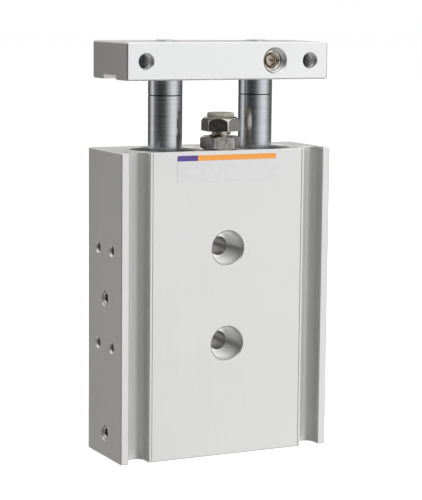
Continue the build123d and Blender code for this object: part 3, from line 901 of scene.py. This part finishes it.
def urethane_finish():
    """Beige urethane of the bumpers, which lets a little light in."""
    colours = bpy.context.scene.finish_colours
    finish = Finish("urethane_beige", colours.urethane, 0.0, 0.48)
    finish.shade(finish.noise(0.0011, detail=3.0), 0.9, 1.08)
    finish.roughen(finish.noise(0.0006), 0.42, 0.58)
    finish.bump(finish.noise(0.00025), 0.000008)
    finish.shader.inputs["Subsurface Weight"].default_value = 0.1
    finish.shader.inputs["Subsurface Scale"].default_value = 0.001
    return finish.done()


def resin_finish():
    """Pale resin of the wear rings."""
    colours = bpy.context.scene.finish_colours
    finish = Finish("wear_resin", colours.resin, 0.0, 0.45)
    finish.shade(finish.noise(0.0008, detail=3.0), 0.9, 1.06)
    finish.bump(finish.noise(0.0003), 0.000006)
    return finish.done()


def magnet_finish():
    """Dark pressed magnet."""
    colours = bpy.context.scene.finish_colours
    finish = Finish("sensor_magnet", colours.magnet, 0.3, 0.5)
    finish.shade(finish.noise(0.0005, detail=4.0), 0.8, 1.2)
    finish.roughen(finish.noise(0.0007), 0.42, 0.6)
    return finish.done()


def printed_finish(name, base, metallic, roughness):
    """Printed film of the label, with the faint orange peel of plastic film."""
    finish = Finish(name, base, metallic, roughness)
    finish.shader.inputs["Specular IOR Level"].default_value = 0.3
    finish.shade(finish.noise(0.0012, detail=2.0), 0.975, 1.02)
    finish.roughen(finish.noise(0.0008), roughness - 0.04, roughness + 0.06)
    finish.bump(finish.noise(0.0009), 0.000004)
    return finish.done()


def film_finish():
    """Bare film of the label, with a metallic sheen."""
    return printed_finish("label_film", bpy.context.scene.finish_colours.film, 0.6, 0.4)


def stripe_finish():
    """Long part of the label's stripe."""
    return printed_finish("label_stripe", bpy.context.scene.finish_colours.stripe, 0.0, 0.35)


def accent_finish():
    """Short part of the label's stripe."""
    return printed_finish("label_accent", bpy.context.scene.finish_colours.accent, 0.0, 0.35)


FINISHES = {
    "block": block_finish,
    "plate": plate_finish,
    "cover": cover_finish,
    "thread": thread_finish,
    "chrome": chrome_finish,
    "rod_end": rod_end_finish,
    "nickel": nickel_finish,
    "nut": nut_finish,
    "spring": spring_finish,
    "bronze": bronze_finish,
    "rubber": rubber_finish,
    "urethane": urethane_finish,
    "resin": resin_finish,
    "magnet": magnet_finish,
    "film": film_finish,
    "stripe": stripe_finish,
    "accent": accent_finish,
}
made_finishes = {}


def finish_of(kind):
    """Makes each material once."""
    if kind not in made_finishes:
        made_finishes[kind] = FINISHES[kind]()
    return made_finishes[kind]


# What each carried-over node is made of, by the first word or words of its name
NODE_FINISHES = (
    ("housing", "block"),
    ("end_plate", "plate"),
    ("rod_cover_o_ring", "rubber"),
    ("head_cover_o_ring", "rubber"),
    ("rod_cover", "cover"),
    ("head_cover", "cover"),
    ("rod_bush", "bronze"),
    ("rod_seal", "rubber"),
    ("seal_retainer", "nickel"),
    ("rod_snap_ring", "spring"),
    ("head_snap_ring", "spring"),
    ("rod_side_bumper", "urethane"),
    ("head_side_bumper", "urethane"),
    ("piston_seal", "rubber"),
    ("piston_magnet", "magnet"),
    ("piston_nut", "nickel"),
    ("piston_rod", "chrome"),
    ("piston_", "cover"),
    ("wear_ring", "resin"),
    ("rod_end", "rod_end"),
)


class CYLINDER_OT_finishes(bpy.types.Operator):
    """Gives every carried-over part of the cylinder its finish"""

    bl_idname = "cylinder.finishes"
    bl_label = "Dress the parts"

    def execute(self, context):
        for name, node in frame["nodes"].items():
            for start, kind in NODE_FINISHES:
                if name.startswith(start):
                    for slot in node.material_slots:
                        slot.material = finish_of(kind)
                    break
        return {"FINISHED"}


class CYLINDER_OT_lock_nut(bpy.types.Operator):
    """Models the lock nut that holds the bumper bolt's setting"""

    bl_idname = "cylinder.lock_nut"
    bl_label = "Lock nut"

    def execute(self, context):
        sizes = context.scene.hardware_sizes
        middle = (NUT_LOW + NUT_HIGH) / 2
        low, high = NUT_LOW.z - sizes.bolt_pitch, NUT_HIGH.z + sizes.bolt_pitch
        reach, corner_angle = hexagon_corner("lock_nut", middle.x, middle.y)
        nut = hexagon("lock_nut_body", low, high, middle.x, middle.y, reach, corner_angle)
        face = sizes.nut_face * reach * math.sqrt(3) / 2
        envelope = turned_ends(
            "nut_turning", NUT_LOW.z, NUT_HIGH.z, middle.x, middle.y, reach, face, sizes.nut_slope
        )
        carve(nut, envelope, "INTERSECT")
        bore = sizes.bolt_diameter / 2 + sizes.nut_bore_gap
        carve(nut, cylinder("nut_bore", bore, low, high, middle.x, middle.y))
        round_edges(nut, sizes.edge_round)
        clean_up(nut)
        keep_flat(nut)
        hand_over(nut, "lock_nut", "nickel_steel", finish_of("nut"), "lock_nut")
        return {"FINISHED"}


class CYLINDER_OT_bumper_bolt(bpy.types.Operator):
    """Models the stop bolt with its head and thread"""

    bl_idname = "cylinder.bumper_bolt"
    bl_label = "Bumper bolt"

    def execute(self, context):
        sizes = context.scene.hardware_sizes
        x, y = (BUMPER_LOW.x + BUMPER_HIGH.x) / 2, (BUMPER_LOW.y + BUMPER_HIGH.y) / 2
        head_top = BOLT_HIGH.z
        reach, corner_angle = hexagon_corner("bumper_bolt", x, y)
        beyond_shank = (reach + sizes.bolt_diameter / 2) / 2
        head_low = min(heights_beyond("bumper_bolt", x, y, beyond_shank))
        overlap = sizes.bolt_pitch / 4
        bolt = hexagon("stop_bolt", head_low, head_top + overlap, x, y, reach, corner_angle)
        envelope = crowned_end(
            "head_turning", head_low - overlap, head_top, x, y, reach, sizes.head_crown
        )
        carve(bolt, envelope, "INTERSECT")
        pocket_radius = sizes.bumper_stem / 2 + sizes.nut_bore_gap
        pocket_low = BUMPER_LOW.z - overlap
        carve(bolt, cylinder("bolt_pocket", pocket_radius, pocket_low, head_top + overlap, x, y))
        round_edges(bolt, sizes.edge_round)
        shank = thread(
            "bolt_thread", sizes.bolt_diameter / 2, sizes.bolt_pitch, BOLT_LOW.z,
            head_low + overlap, x, y,
        )
        carve(bolt, shank, "UNION")
        clean_up(bolt)
        keep_flat(bolt)
        hand_over(bolt, "bumper_bolt", "nickel_steel", finish_of("nickel"), "bumper_bolt")
        return {"FINISHED"}


class CYLINDER_OT_bolt_bumper(bpy.types.Operator):
    """Models the soft disc on the bolt's head with its toothed rim and its stem"""

    bl_idname = "cylinder.bolt_bumper"
    bl_label = "Bolt bumper"

    def execute(self, context):
        sizes = context.scene.hardware_sizes
        x, y = (BUMPER_LOW.x + BUMPER_HIGH.x) / 2, (BUMPER_LOW.y + BUMPER_HIGH.y) / 2
        radius = (BUMPER_HIGH.x - BUMPER_LOW.x) / 2
        rim = heights_beyond("bolt_bumper", x, y, 0.98 * radius)
        foot, shoulder = min(rim), max(rim)
        corners = 4 * sizes.bumper_teeth
        disc = cylinder("stop_bumper", radius, foot, shoulder, x, y, corners)
        edit(disc, "EDGE")
        step = math.tau / corners

        def in_gap(a, b):
            """Two of every four upright edges lie between teeth."""
            upright = abs(a.z - b.z) > (shoulder - foot) / 2
            place = round(math.atan2(a.y - y, a.x - x) / step) % 4
            return upright and place in (0, 1)

        select_edges(disc, in_gap)
        shrink = 1 - sizes.bumper_tooth / radius
        bpy.ops.transform.resize(value=(shrink, shrink, 1), center_override=(x, y, foot))
        select_faces(disc, lambda place, normal: normal.z > 0.9)
        rise = BUMPER_HIGH.z - shoulder
        bpy.ops.mesh.extrude_region_move(TRANSFORM_OT_translate={"value": (0, 0, rise)})
        inward = 1 - rise / radius
        bpy.ops.transform.resize(value=(inward, inward, 1), center_override=(x, y, foot))
        leave_edit()
        stem = cylinder(
            "bumper_stem", sizes.bumper_stem / 2, BUMPER_LOW.z, (foot + shoulder) / 2, x, y
        )
        carve(disc, stem, "UNION")
        clean_up(disc, 30)
        hand_over(disc, "bolt_bumper", "urethane", finish_of("urethane"), "bolt_bumper")
        return {"FINISHED"}


def socket_screw(name, radius, chamfer, depth, mouth, flats, socket):
    """Headless screw with a hexagon socket, modelled upright with its face at the top."""
    middle = (0, 0, 0)
    piece = cylinder(name, radius, -depth, -chamfer)
    edit(piece)
    select_faces(piece, lambda place, normal: normal.z > 0.9)
    bpy.ops.mesh.extrude_region_move(TRANSFORM_OT_translate={"value": (0, 0, chamfer)})
    shrink = 1 - chamfer / radius
    bpy.ops.transform.resize(value=(shrink, shrink, 1), center_override=middle)
    leave_edit()
    deselect()
    bpy.ops.mesh.primitive_cone_add(
        vertices=ROUND_STEPS, radius1=0, radius2=mouth + chamfer, depth=mouth + chamfer,
        location=(0, 0, (chamfer - mouth) / 2),
    )
    carve(piece, start_piece(name + "_mouth"))
    corner = flats / math.sqrt(3)
    key = cylinder(name + "_key", corner, -socket, chamfer, vertices=HEX_CORNERS)
    edit(key)
    select_faces(key, lambda place, normal: normal.z < -0.9)
    drill_point = corner / 3
    bpy.ops.mesh.extrude_region_move(TRANSFORM_OT_translate={"value": (0, 0, -drill_point)})
    shrink = 0.05
    bpy.ops.transform.resize(value=(shrink, shrink, 1), center_override=middle)
    leave_edit()
    carve(piece, key)
    return piece


def lay_down(piece, direction, face):
    """Turns a piece modelled upright so that its top looks along a direction, at a place."""
    piece.rotation_mode = "QUATERNION"
    piece.rotation_quaternion = direction.to_track_quat("Z", "Y")
    piece.location = face
    settle(piece)


class CYLINDER_OT_set_screw(bpy.types.Operator):
    """Models the socket set screw that clamps the right stud in the plate"""

    bl_idname = "cylinder.set_screw"
    bl_label = "Plate set screw"

    def execute(self, context):
        sizes = context.scene.hardware_sizes
        middle = (SCREW_LOW + SCREW_HIGH) / 2
        radius = (SCREW_HIGH.x - SCREW_LOW.x) / 2
        depth = SCREW_HIGH.y - SCREW_LOW.y
        screw = socket_screw(
            "clamp_screw", radius, sizes.screw_chamfer, depth, sizes.screw_mouth,
            sizes.screw_flats, sizes.screw_socket,
        )
        round_edges(screw, sizes.edge_round)
        lay_down(screw, Vector((0, -1, 0)), (middle.x, SCREW_LOW.y, middle.z))
        clean_up(screw)
        hand_over(screw, "plate", "nickel_steel", finish_of("nickel"), "plate_set_screw")
        return {"FINISHED"}


class CYLINDER_OT_port_plugs(bpy.types.Operator):
    """Models the socket plugs in the two ports of the left side"""

    bl_idname = "cylinder.port_plugs"
    bl_label = "Port plugs"

    def execute(self, context):
        sizes = context.scene.hardware_sizes
        for node in ("rod_port_plug", "head_port_plug"):
            low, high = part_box(node)
            middle = (low + high) / 2
            radius = (high.z - low.z) / 2
            plug = socket_screw(
                node + "_body", radius, sizes.screw_chamfer, high.x - low.x, sizes.plug_mouth,
                sizes.plug_flats, sizes.plug_socket,
            )
            round_edges(plug, sizes.edge_round)
            lay_down(plug, Vector((-1, 0, 0)), (low.x, middle.y, middle.z))
            clean_up(plug)
            hand_over(plug, "housing", "nickel_steel", finish_of("nickel"), node)
        return {"FINISHED"}


def thread_ridge(name, radius, mouth, direction, pitch, ridge, start, depth):
    """Helical ridge in the wall of a tapped hole, whose mouth looks along a direction."""
    deselect()
    bpy.ops.mesh.primitive_circle_add(vertices=4, radius=ridge, location=(0, 0, 0))
    piece = start_piece(name)
    edit(piece, "VERT")
    mesh = bmesh.from_edit_mesh(piece.data)
    sunk = ridge / 4
    base = pitch * 0.42
    crest = pitch * 0.09
    corners = ((sunk, -base), (sunk, base), (-ridge, crest), (-ridge, -crest))
    for vertex, (out, up) in zip(mesh.verts, corners):
        vertex.co = (radius + out, 0, up)
    bmesh.update_edit_mesh(piece.data)
    leave_edit()
    turns = max(1, round(depth / pitch) - 1)
    modify(
        piece, "SCREW", axis="Z", angle=math.tau, screw_offset=-pitch, iterations=turns,
        steps=RIDGE_STEPS, render_steps=RIDGE_STEPS, use_merge_vertices=False,
    )
    edit(piece, "EDGE")
    bpy.ops.mesh.select_all(action="SELECT")
    bpy.ops.mesh.remove_doubles(threshold=MERGE_DISTANCE)
    bpy.ops.mesh.select_all(action="DESELECT")
    bpy.ops.mesh.select_non_manifold()
    bpy.ops.mesh.edge_face_add()
    leave_edit()
    lay_down(piece, direction, mouth - direction * start)
    clean_up(piece, 30, outward=True)
    return piece


class CYLINDER_OT_tapped_holes(bpy.types.Operator):
    """Cuts the look of a thread into the tapped holes and open ports"""

    bl_idname = "cylinder.tapped_holes"
    bl_label = "Threads of the tapped holes"

    def execute(self, context):
        self.cut_plate()
        for side in ("left", "right"):
            self.cut_side(side)
        for name in ("rod_side_port", "head_side_port"):
            port = mount(name)
            mouth = Vector((HOUSING_HIGH.x, 0, port["pos_m"][2]))
            radius = port["dims"]["r_mm"] * MM
            outward = Vector((1, 0, 0))
            ridge = thread_ridge(name + "_thread", radius, mouth, outward, **PORT_THREAD)
            hand_over(ridge, "housing", "anodised_aluminium", finish_of("block"))
        return {"FINISHED"}

    def cut_plate(self):
        """Two tapped holes in the plate's front, and the thread round its clamp screw."""
        level = (PLATE_LOW.z + PLATE_HIGH.z) / 2
        dims = mount("plate_front_threads")["dims"]
        half, radius = dims["spacing_x_mm"] * MM / 2, dims["hole_r_mm"] * MM
        forward = Vector((0, -1, 0))
        for side, x in (("left", -half), ("right", half)):
            mouth = Vector((x, PLATE_LOW.y, level))
            ridge = thread_ridge("plate_thread_" + side, radius, mouth, forward, **PLATE_THREAD)
            hand_over(ridge, "plate", "anodised_aluminium", finish_of("plate"))
        mouth = Vector(((SCREW_LOW.x + SCREW_HIGH.x) / 2, PLATE_LOW.y, level))
        radius = (SCREW_HIGH.x - SCREW_LOW.x) / 2 + CLAMP_THREAD_GAP
        ridge = thread_ridge("clamp_screw_thread", radius, mouth, forward, **CLAMP_THREAD)
        hand_over(ridge, "plate", "anodised_aluminium", finish_of("thread"))

    def cut_side(self, side):
        """Four tapped holes in one side of the block."""
        pattern = mount(side + "_side_threads")
        outward = Vector(pattern["axis"])
        radius = pattern["dims"]["hole_r_mm"] * MM
        across = pattern["dims"]["spacing_x_mm"] * MM / 2
        along = pattern["dims"]["spacing_y_mm"] * MM / 2
        places = ((-across, -along), (across, -along), (-across, along), (across, along))
        for number, (depthwise, upward) in enumerate(places, 1):
            mouth = Vector(pattern["pos_m"]) + Vector((0, depthwise, upward))
            name = f"{side}_side_thread_{number}"
            ridge = thread_ridge(name, radius, mouth, outward, **SIDE_THREAD)
            hand_over(ridge, "housing", "anodised_aluminium", finish_of("block"))


class CYLINDER_OT_label(bpy.types.Operator):
    """Lays the plain label with its two-colour stripe on the front face"""

    bl_idname = "cylinder.label"
    bl_label = "Label"

    def execute(self, context):
        sizes = context.scene.hardware_sizes
        top = HOUSING_HIGH.z - sizes.label_drop
        low = top - sizes.label_height
        face = HOUSING_LOW.y
        deselect()
        bpy.ops.mesh.primitive_cube_add(
            size=1, location=(sizes.label_side, face - sizes.label_film / 2, (low + top) / 2),
            scale=(sizes.label_width, sizes.label_film, sizes.label_height),
        )
        label = start_piece("label")
        settle(label)
        edit(label, "EDGE")
        select_edges(label, lambda a, b: abs(a.y - b.y) > sizes.label_film / 2)
        bpy.ops.mesh.bevel(offset=sizes.label_corner, segments=5, affect="EDGES")
        stripe_low = top - sizes.label_stripe
        left_end = sizes.label_side - sizes.label_width / 2
        accent_end = left_end + sizes.label_width * sizes.label_accent
        bpy.ops.mesh.select_all(action="SELECT")
        bpy.ops.mesh.bisect(plane_co=(0, 0, stripe_low), plane_no=(0, 0, 1))
        bpy.ops.mesh.select_all(action="SELECT")
        bpy.ops.mesh.bisect(plane_co=(accent_end, 0, 0), plane_no=(1, 0, 0))
        leave_edit()
        clean_up(label)
        hand_over(label, "housing", "anodised_aluminium", finish_of("film"))
        label.data.materials.append(finish_of("stripe"))
        label.data.materials.append(finish_of("accent"))
        for polygon in label.data.polygons:
            if polygon.center.z > stripe_low:
                polygon.material_index = 2 if polygon.center.x < accent_end else 1
        return {"FINISHED"}


# Studio


def lamp(name, power, size, place):
    """Square soft lamp that looks at the middle of the cylinder."""
    deselect()
    bpy.ops.object.light_add(type="AREA", location=place)
    light = bpy.context.object
    light.name = light.data.name = name
    light.data.energy = power
    light.data.size = size
    middle = (CAD_BOX[0] + CAD_BOX[1]) / 2
    light.rotation_mode = "QUATERNION"
    light.rotation_quaternion = (Vector(place) - middle).to_track_quat("Z", "Y")
    light.visible_glossy = False
    light.visible_camera = False


def seen_as_backdrop(tree):
    """1 for the camera's own rays, for reflections and for rays through clear surfaces."""
    path = tree.nodes.new("ShaderNodeLightPath")
    seen = path.outputs["Is Camera Ray"]
    for kind in ("Is Glossy Ray", "Is Transmission Ray"):
        either = tree.nodes.new("ShaderNodeMath")
        either.operation = "MAXIMUM"
        tree.links.new(seen, either.inputs[0])
        tree.links.new(path.outputs[kind], either.inputs[1])
        seen = either.outputs[0]
    return seen


def white_world(ambient):
    """Even room light, which camera, reflections and clear surfaces see as white."""
    world = bpy.data.worlds.new("studio_room")
    bpy.context.scene.world = world
    world.use_nodes = True
    tree = world.node_tree
    tree.nodes.clear()
    room = tree.nodes.new("ShaderNodeBackground")
    room.inputs["Strength"].default_value = ambient
    white = tree.nodes.new("ShaderNodeBackground")
    white.inputs["Strength"].default_value = 1.0
    mix = tree.nodes.new("ShaderNodeMixShader")
    tree.links.new(seen_as_backdrop(tree), mix.inputs[0])
    for background in (room, white):
        background.inputs["Color"].default_value = (1, 1, 1, 1)
    tree.links.new(room.outputs[0], mix.inputs[1])
    tree.links.new(white.outputs[0], mix.inputs[2])
    output = tree.nodes.new("ShaderNodeOutputWorld")
    tree.links.new(mix.outputs[0], output.inputs["Surface"])


def floor_material(base, glow):
    """Pale floor that reads as white in the picture and still takes the soft shadow."""
    material = bpy.data.materials.new("studio_floor")
    material.use_nodes = True
    tree = material.node_tree
    tree.nodes.clear()
    diffuse = tree.nodes.new("ShaderNodeBsdfDiffuse")
    diffuse.inputs["Color"].default_value = (*base, 1)
    light = tree.nodes.new("ShaderNodeEmission")
    strength = tree.nodes.new("ShaderNodeMath")
    strength.operation = "MULTIPLY"
    strength.inputs[1].default_value = glow
    tree.links.new(seen_as_backdrop(tree), strength.inputs[0])
    tree.links.new(strength.outputs[0], light.inputs["Strength"])
    add = tree.nodes.new("ShaderNodeAddShader")
    tree.links.new(diffuse.outputs[0], add.inputs[0])
    tree.links.new(light.outputs[0], add.inputs[1])
    output = tree.nodes.new("ShaderNodeOutputMaterial")
    tree.links.new(add.outputs[0], output.inputs["Surface"])
    return material


# The round wall at its foot, at the height of the plate and above it. A row goes once round it:
# the angle in degrees to the right of the camera, the brightness and the blueness
WALL_FOOT_BANDS = (
    (-180, 0.2, -0.04), (-145, 0.22, -0.05), (-118, 0.28, -0.05), (-100, 0.5, -0.03),
    (-85, 0.5, 0.0), (-60, 0.2, 0.0), (-20, 0.2, 0.0), (22, 0.6, 0.0), (40, 0.95, 0.0),
    (75, 1.05, 0.0), (105, 0.6, 0.0), (140, 0.25, 0.0), (180, 0.2, -0.04),
)
WALL_LOW_BANDS = (
    (-180, 0.13, -0.04), (-150, 0.08, -0.06), (-128, 0.08, -0.08), (-118, 0.26, -0.04),
    (-105, 0.72, 0.0), (-92, 1.05, 0.0), (-84, 0.8, 0.0), (-76, 0.2, 0.0), (-40, 0.02, -0.02),
    (-6, 0.02, 0.0), (8, 0.12, 0.03), (22, 0.44, 0.04), (37, 0.74, 0.04), (50, 1.04, 0.01),
    (72, 1.06, 0.01), (86, 0.74, 0.03), (96, 0.47, 0.02), (107, 0.24, 0.0), (128, 0.13, 0.0),
    (180, 0.13, -0.04),
)
WALL_HIGH_BANDS = (
    (-180, 0.72, -0.02), (-128, 0.5, -0.04), (-100, 0.8, -0.02), (-72, 0.35, 0.0),
    (-40, 0.2, 0.0), (0, 0.25, 0.0), (28, 0.8, 0.0), (48, 1.1, 0.0), (95, 1.05, 0.0),
    (115, 0.65, 0.0), (180, 0.72, -0.02),
)


def band_ramp(tree, bands, factor):
    """Colours round the wall, from one row of bands."""
    node = tree.nodes.new("ShaderNodeValToRGB")
    elements = node.color_ramp.elements
    while len(elements) > 1:
        elements.remove(elements[-1])
    for number, (degrees, level, blue) in enumerate(bands):
        position = 0.5 + degrees / 360
        if number:
            element = elements.new(position)
        else:
            element = elements[0]
            element.position = position
        element.color = (level * (1 - blue / 2), level, level * (1 + blue), 1)
    tree.links.new(factor, node.inputs[0])
    return node.outputs[0]


def wall_material(camera_azimuth, change):
    """Dark studio with a large soft box at the right and a paler strip at the left."""
    material = bpy.data.materials.new("studio_wall")
    material.use_nodes = True
    tree = material.node_tree
    tree.nodes.clear()
    place = tree.nodes.new("ShaderNodeTexCoord")
    turn = tree.nodes.new("ShaderNodeMapping")
    turn.vector_type = "POINT"
    turn.inputs["Rotation"].default_value = (0, 0, math.pi / 2 - camera_azimuth)
    tree.links.new(place.outputs["Object"], turn.inputs["Vector"])
    gradient = tree.nodes.new("ShaderNodeTexGradient")
    gradient.gradient_type = "RADIAL"
    tree.links.new(turn.outputs[0], gradient.inputs["Vector"])
    split = tree.nodes.new("ShaderNodeSeparateXYZ")
    tree.links.new(place.outputs["Object"], split.inputs[0])
    light = band_ramp(tree, WALL_FOOT_BANDS, gradient.outputs["Fac"])
    for bands, start, end in (
        (WALL_LOW_BANDS, -change / 2, -change / 4), (WALL_HIGH_BANDS, change, 2 * change)
    ):
        height = tree.nodes.new("ShaderNodeMapRange")
        height.inputs["From Min"].default_value = start
        height.inputs["From Max"].default_value = end
        tree.links.new(split.outputs[2], height.inputs["Value"])
        mix = tree.nodes.new("ShaderNodeMix")
        mix.data_type = "RGBA"
        tree.links.new(height.outputs[0], mix.inputs["Factor"])
        colours = [s for s in mix.inputs if s.type == "RGBA"]
        tree.links.new(light, colours[0])
        tree.links.new(band_ramp(tree, bands, gradient.outputs["Fac"]), colours[1])
        light = next(s for s in mix.outputs if s.type == "RGBA")
    emission = tree.nodes.new("ShaderNodeEmission")
    tree.links.new(light, emission.inputs["Color"])
    output = tree.nodes.new("ShaderNodeOutputMaterial")
    tree.links.new(emission.outputs[0], output.inputs["Surface"])
    return material


def pit_material(glow):
    """Even grey below, which only reflections see."""
    material = bpy.data.materials.new("studio_pit")
    material.use_nodes = True
    tree = material.node_tree
    tree.nodes.clear()
    emission = tree.nodes.new("ShaderNodeEmission")
    emission.inputs["Strength"].default_value = glow
    output = tree.nodes.new("ShaderNodeOutputMaterial")
    tree.links.new(emission.outputs[0], output.inputs["Surface"])
    return material


class CYLINDER_OT_studio(bpy.types.Operator):
    """Sets the camera, the floor, the lamps and the surroundings that the metal reflects"""

    bl_idname = "cylinder.studio"
    bl_label = "Studio"

    def execute(self, context):
        scene = context.scene
        colours, studio = scene.finish_colours, scene.studio_settings
        self.set_camera(scene, studio)
        white_world(studio.ambient)
        self.set_floor(colours, studio)
        self.set_wall(studio)
        facing = studio.azimuth
        for name, power, size, turn, rise, far in (
            ("key_lamp", studio.key_power, 1.4, 55, 28, 1.5),
            ("fill_lamp", studio.fill_power, 1.0, -85, 15, 1.4),
            ("top_lamp", studio.top_power, 1.2, 20, 78, 1.5),
        ):
            around = facing + math.radians(turn)
            up = math.radians(rise)
            place = Vector((
                math.sin(around) * math.cos(up), -math.cos(around) * math.cos(up), math.sin(up)
            ))
            lamp(name, power, size, place * far)
        scene.view_settings.view_transform = "Standard"
        return {"FINISHED"}

    def set_camera(self, scene, studio):
        """Camera at its azimuth and elevation, tilted by its roll."""
        azimuth, elevation = studio.azimuth, studio.elevation
        back = Vector((
            math.sin(azimuth) * math.cos(elevation), -math.cos(azimuth) * math.cos(elevation),
            math.sin(elevation),
        ))
        target = Vector((studio.target_side, 0, studio.target_height))
        deselect()
        bpy.ops.object.camera_add(location=target + back * studio.distance)
        camera = bpy.context.object
        camera.name = "camera"
        camera.rotation_mode = "QUATERNION"
        upright = (-back).to_track_quat("-Z", "Y")
        camera.rotation_quaternion = upright @ Quaternion((0, 0, 1), studio.roll)
        camera.data.lens = studio.lens
        camera.data.clip_start = 0.01
        scene.camera = camera

    def set_floor(self, colours, studio):
        """Round floor just below the block, which no reflection shows."""
        deselect()
        bpy.ops.mesh.primitive_circle_add(
            vertices=SURROUND_STEPS, radius=studio.floor_radius, fill_type="NGON",
            location=(0, 0, -FLOOR_DROP),
        )
        floor = start_piece("floor")
        floor.data.materials.append(floor_material(tuple(colours.floor), studio.floor_glow))
        floor.visible_glossy = False

    def set_wall(self, studio):
        """Round wall and pit, which only reflections show."""
        deselect()
        bpy.ops.mesh.primitive_cylinder_add(
            vertices=SURROUND_STEPS, radius=studio.wall_radius, depth=2 * studio.wall_height,
            end_fill_type="NOTHING", location=(0, 0, 0),
        )
        wall = start_piece("studio_wall")
        wall.data.materials.append(wall_material(studio.azimuth, studio.wall_change))
        deselect()
        bpy.ops.mesh.primitive_circle_add(
            vertices=SURROUND_STEPS, radius=studio.wall_radius, fill_type="NGON",
            location=(0, 0, -studio.wall_height),
        )
        pit = start_piece("studio_pit")
        pit.data.materials.append(pit_material(studio.pit_glow))
        for surround in (wall, pit):
            surround.data.materials[0].cycles.emission_sampling = "NONE"
            surround.visible_camera = surround.visible_diffuse = False
            surround.visible_shadow = surround.visible_transmission = False


class CYLINDER_PT_looks(bpy.types.Panel):
    """Sizes, colours and steps of the cylinder's looks"""

    bl_label = "Twin Rod Cylinder"
    bl_idname = "CYLINDER_PT_looks"
    bl_space_type = "VIEW_3D"
    bl_region_type = "UI"
    bl_category = "Cylinder"

    def draw(self, context):
        """Lists every property, then one button for each step."""
        layout = self.layout
        for group in (
            context.scene.hardware_sizes, context.scene.finish_colours,
            context.scene.studio_settings,
        ):
            box = layout.box()
            for key in group.__annotations__:
                box.prop(group, key)
        for operator in OPERATORS:
            layout.operator(operator.bl_idname)


OPERATORS = (
    CYLINDER_OT_studio,
    CYLINDER_OT_finishes,
    CYLINDER_OT_lock_nut,
    CYLINDER_OT_bumper_bolt,
    CYLINDER_OT_bolt_bumper,
    CYLINDER_OT_set_screw,
    CYLINDER_OT_port_plugs,
    CYLINDER_OT_tapped_holes,
    CYLINDER_OT_label,
)
GROUPS = {
    "hardware_sizes": HardwareSizes,
    "finish_colours": FinishColours,
    "studio_settings": StudioSettings,
}


def register():
    """Adds the property groups, the operators and the panel."""
    for name, group in GROUPS.items():
        bpy.utils.register_class(group)
        setattr(bpy.types.Scene, name, PointerProperty(type=group))
    for cls in (*OPERATORS, CYLINDER_PT_looks):
        bpy.utils.register_class(cls)


def unregister():
    """Takes away what register adds."""
    for cls in reversed((*OPERATORS, CYLINDER_PT_looks)):
        bpy.utils.unregister_class(cls)
    for name, group in GROUPS.items():
        delattr(bpy.types.Scene, name)
        bpy.utils.unregister_class(group)


def main():
    """Sets the studio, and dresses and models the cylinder."""
    register()
    bpy.ops.cylinder.studio()
    bpy.ops.cylinder.finishes()
    bpy.ops.cylinder.lock_nut()
    bpy.ops.cylinder.bumper_bolt()
    bpy.ops.cylinder.bolt_bumper()
    bpy.ops.cylinder.set_screw()
    bpy.ops.cylinder.port_plugs()
    bpy.ops.cylinder.tapped_holes()
    bpy.ops.cylinder.label()


if __name__ == "__main__":
    main()
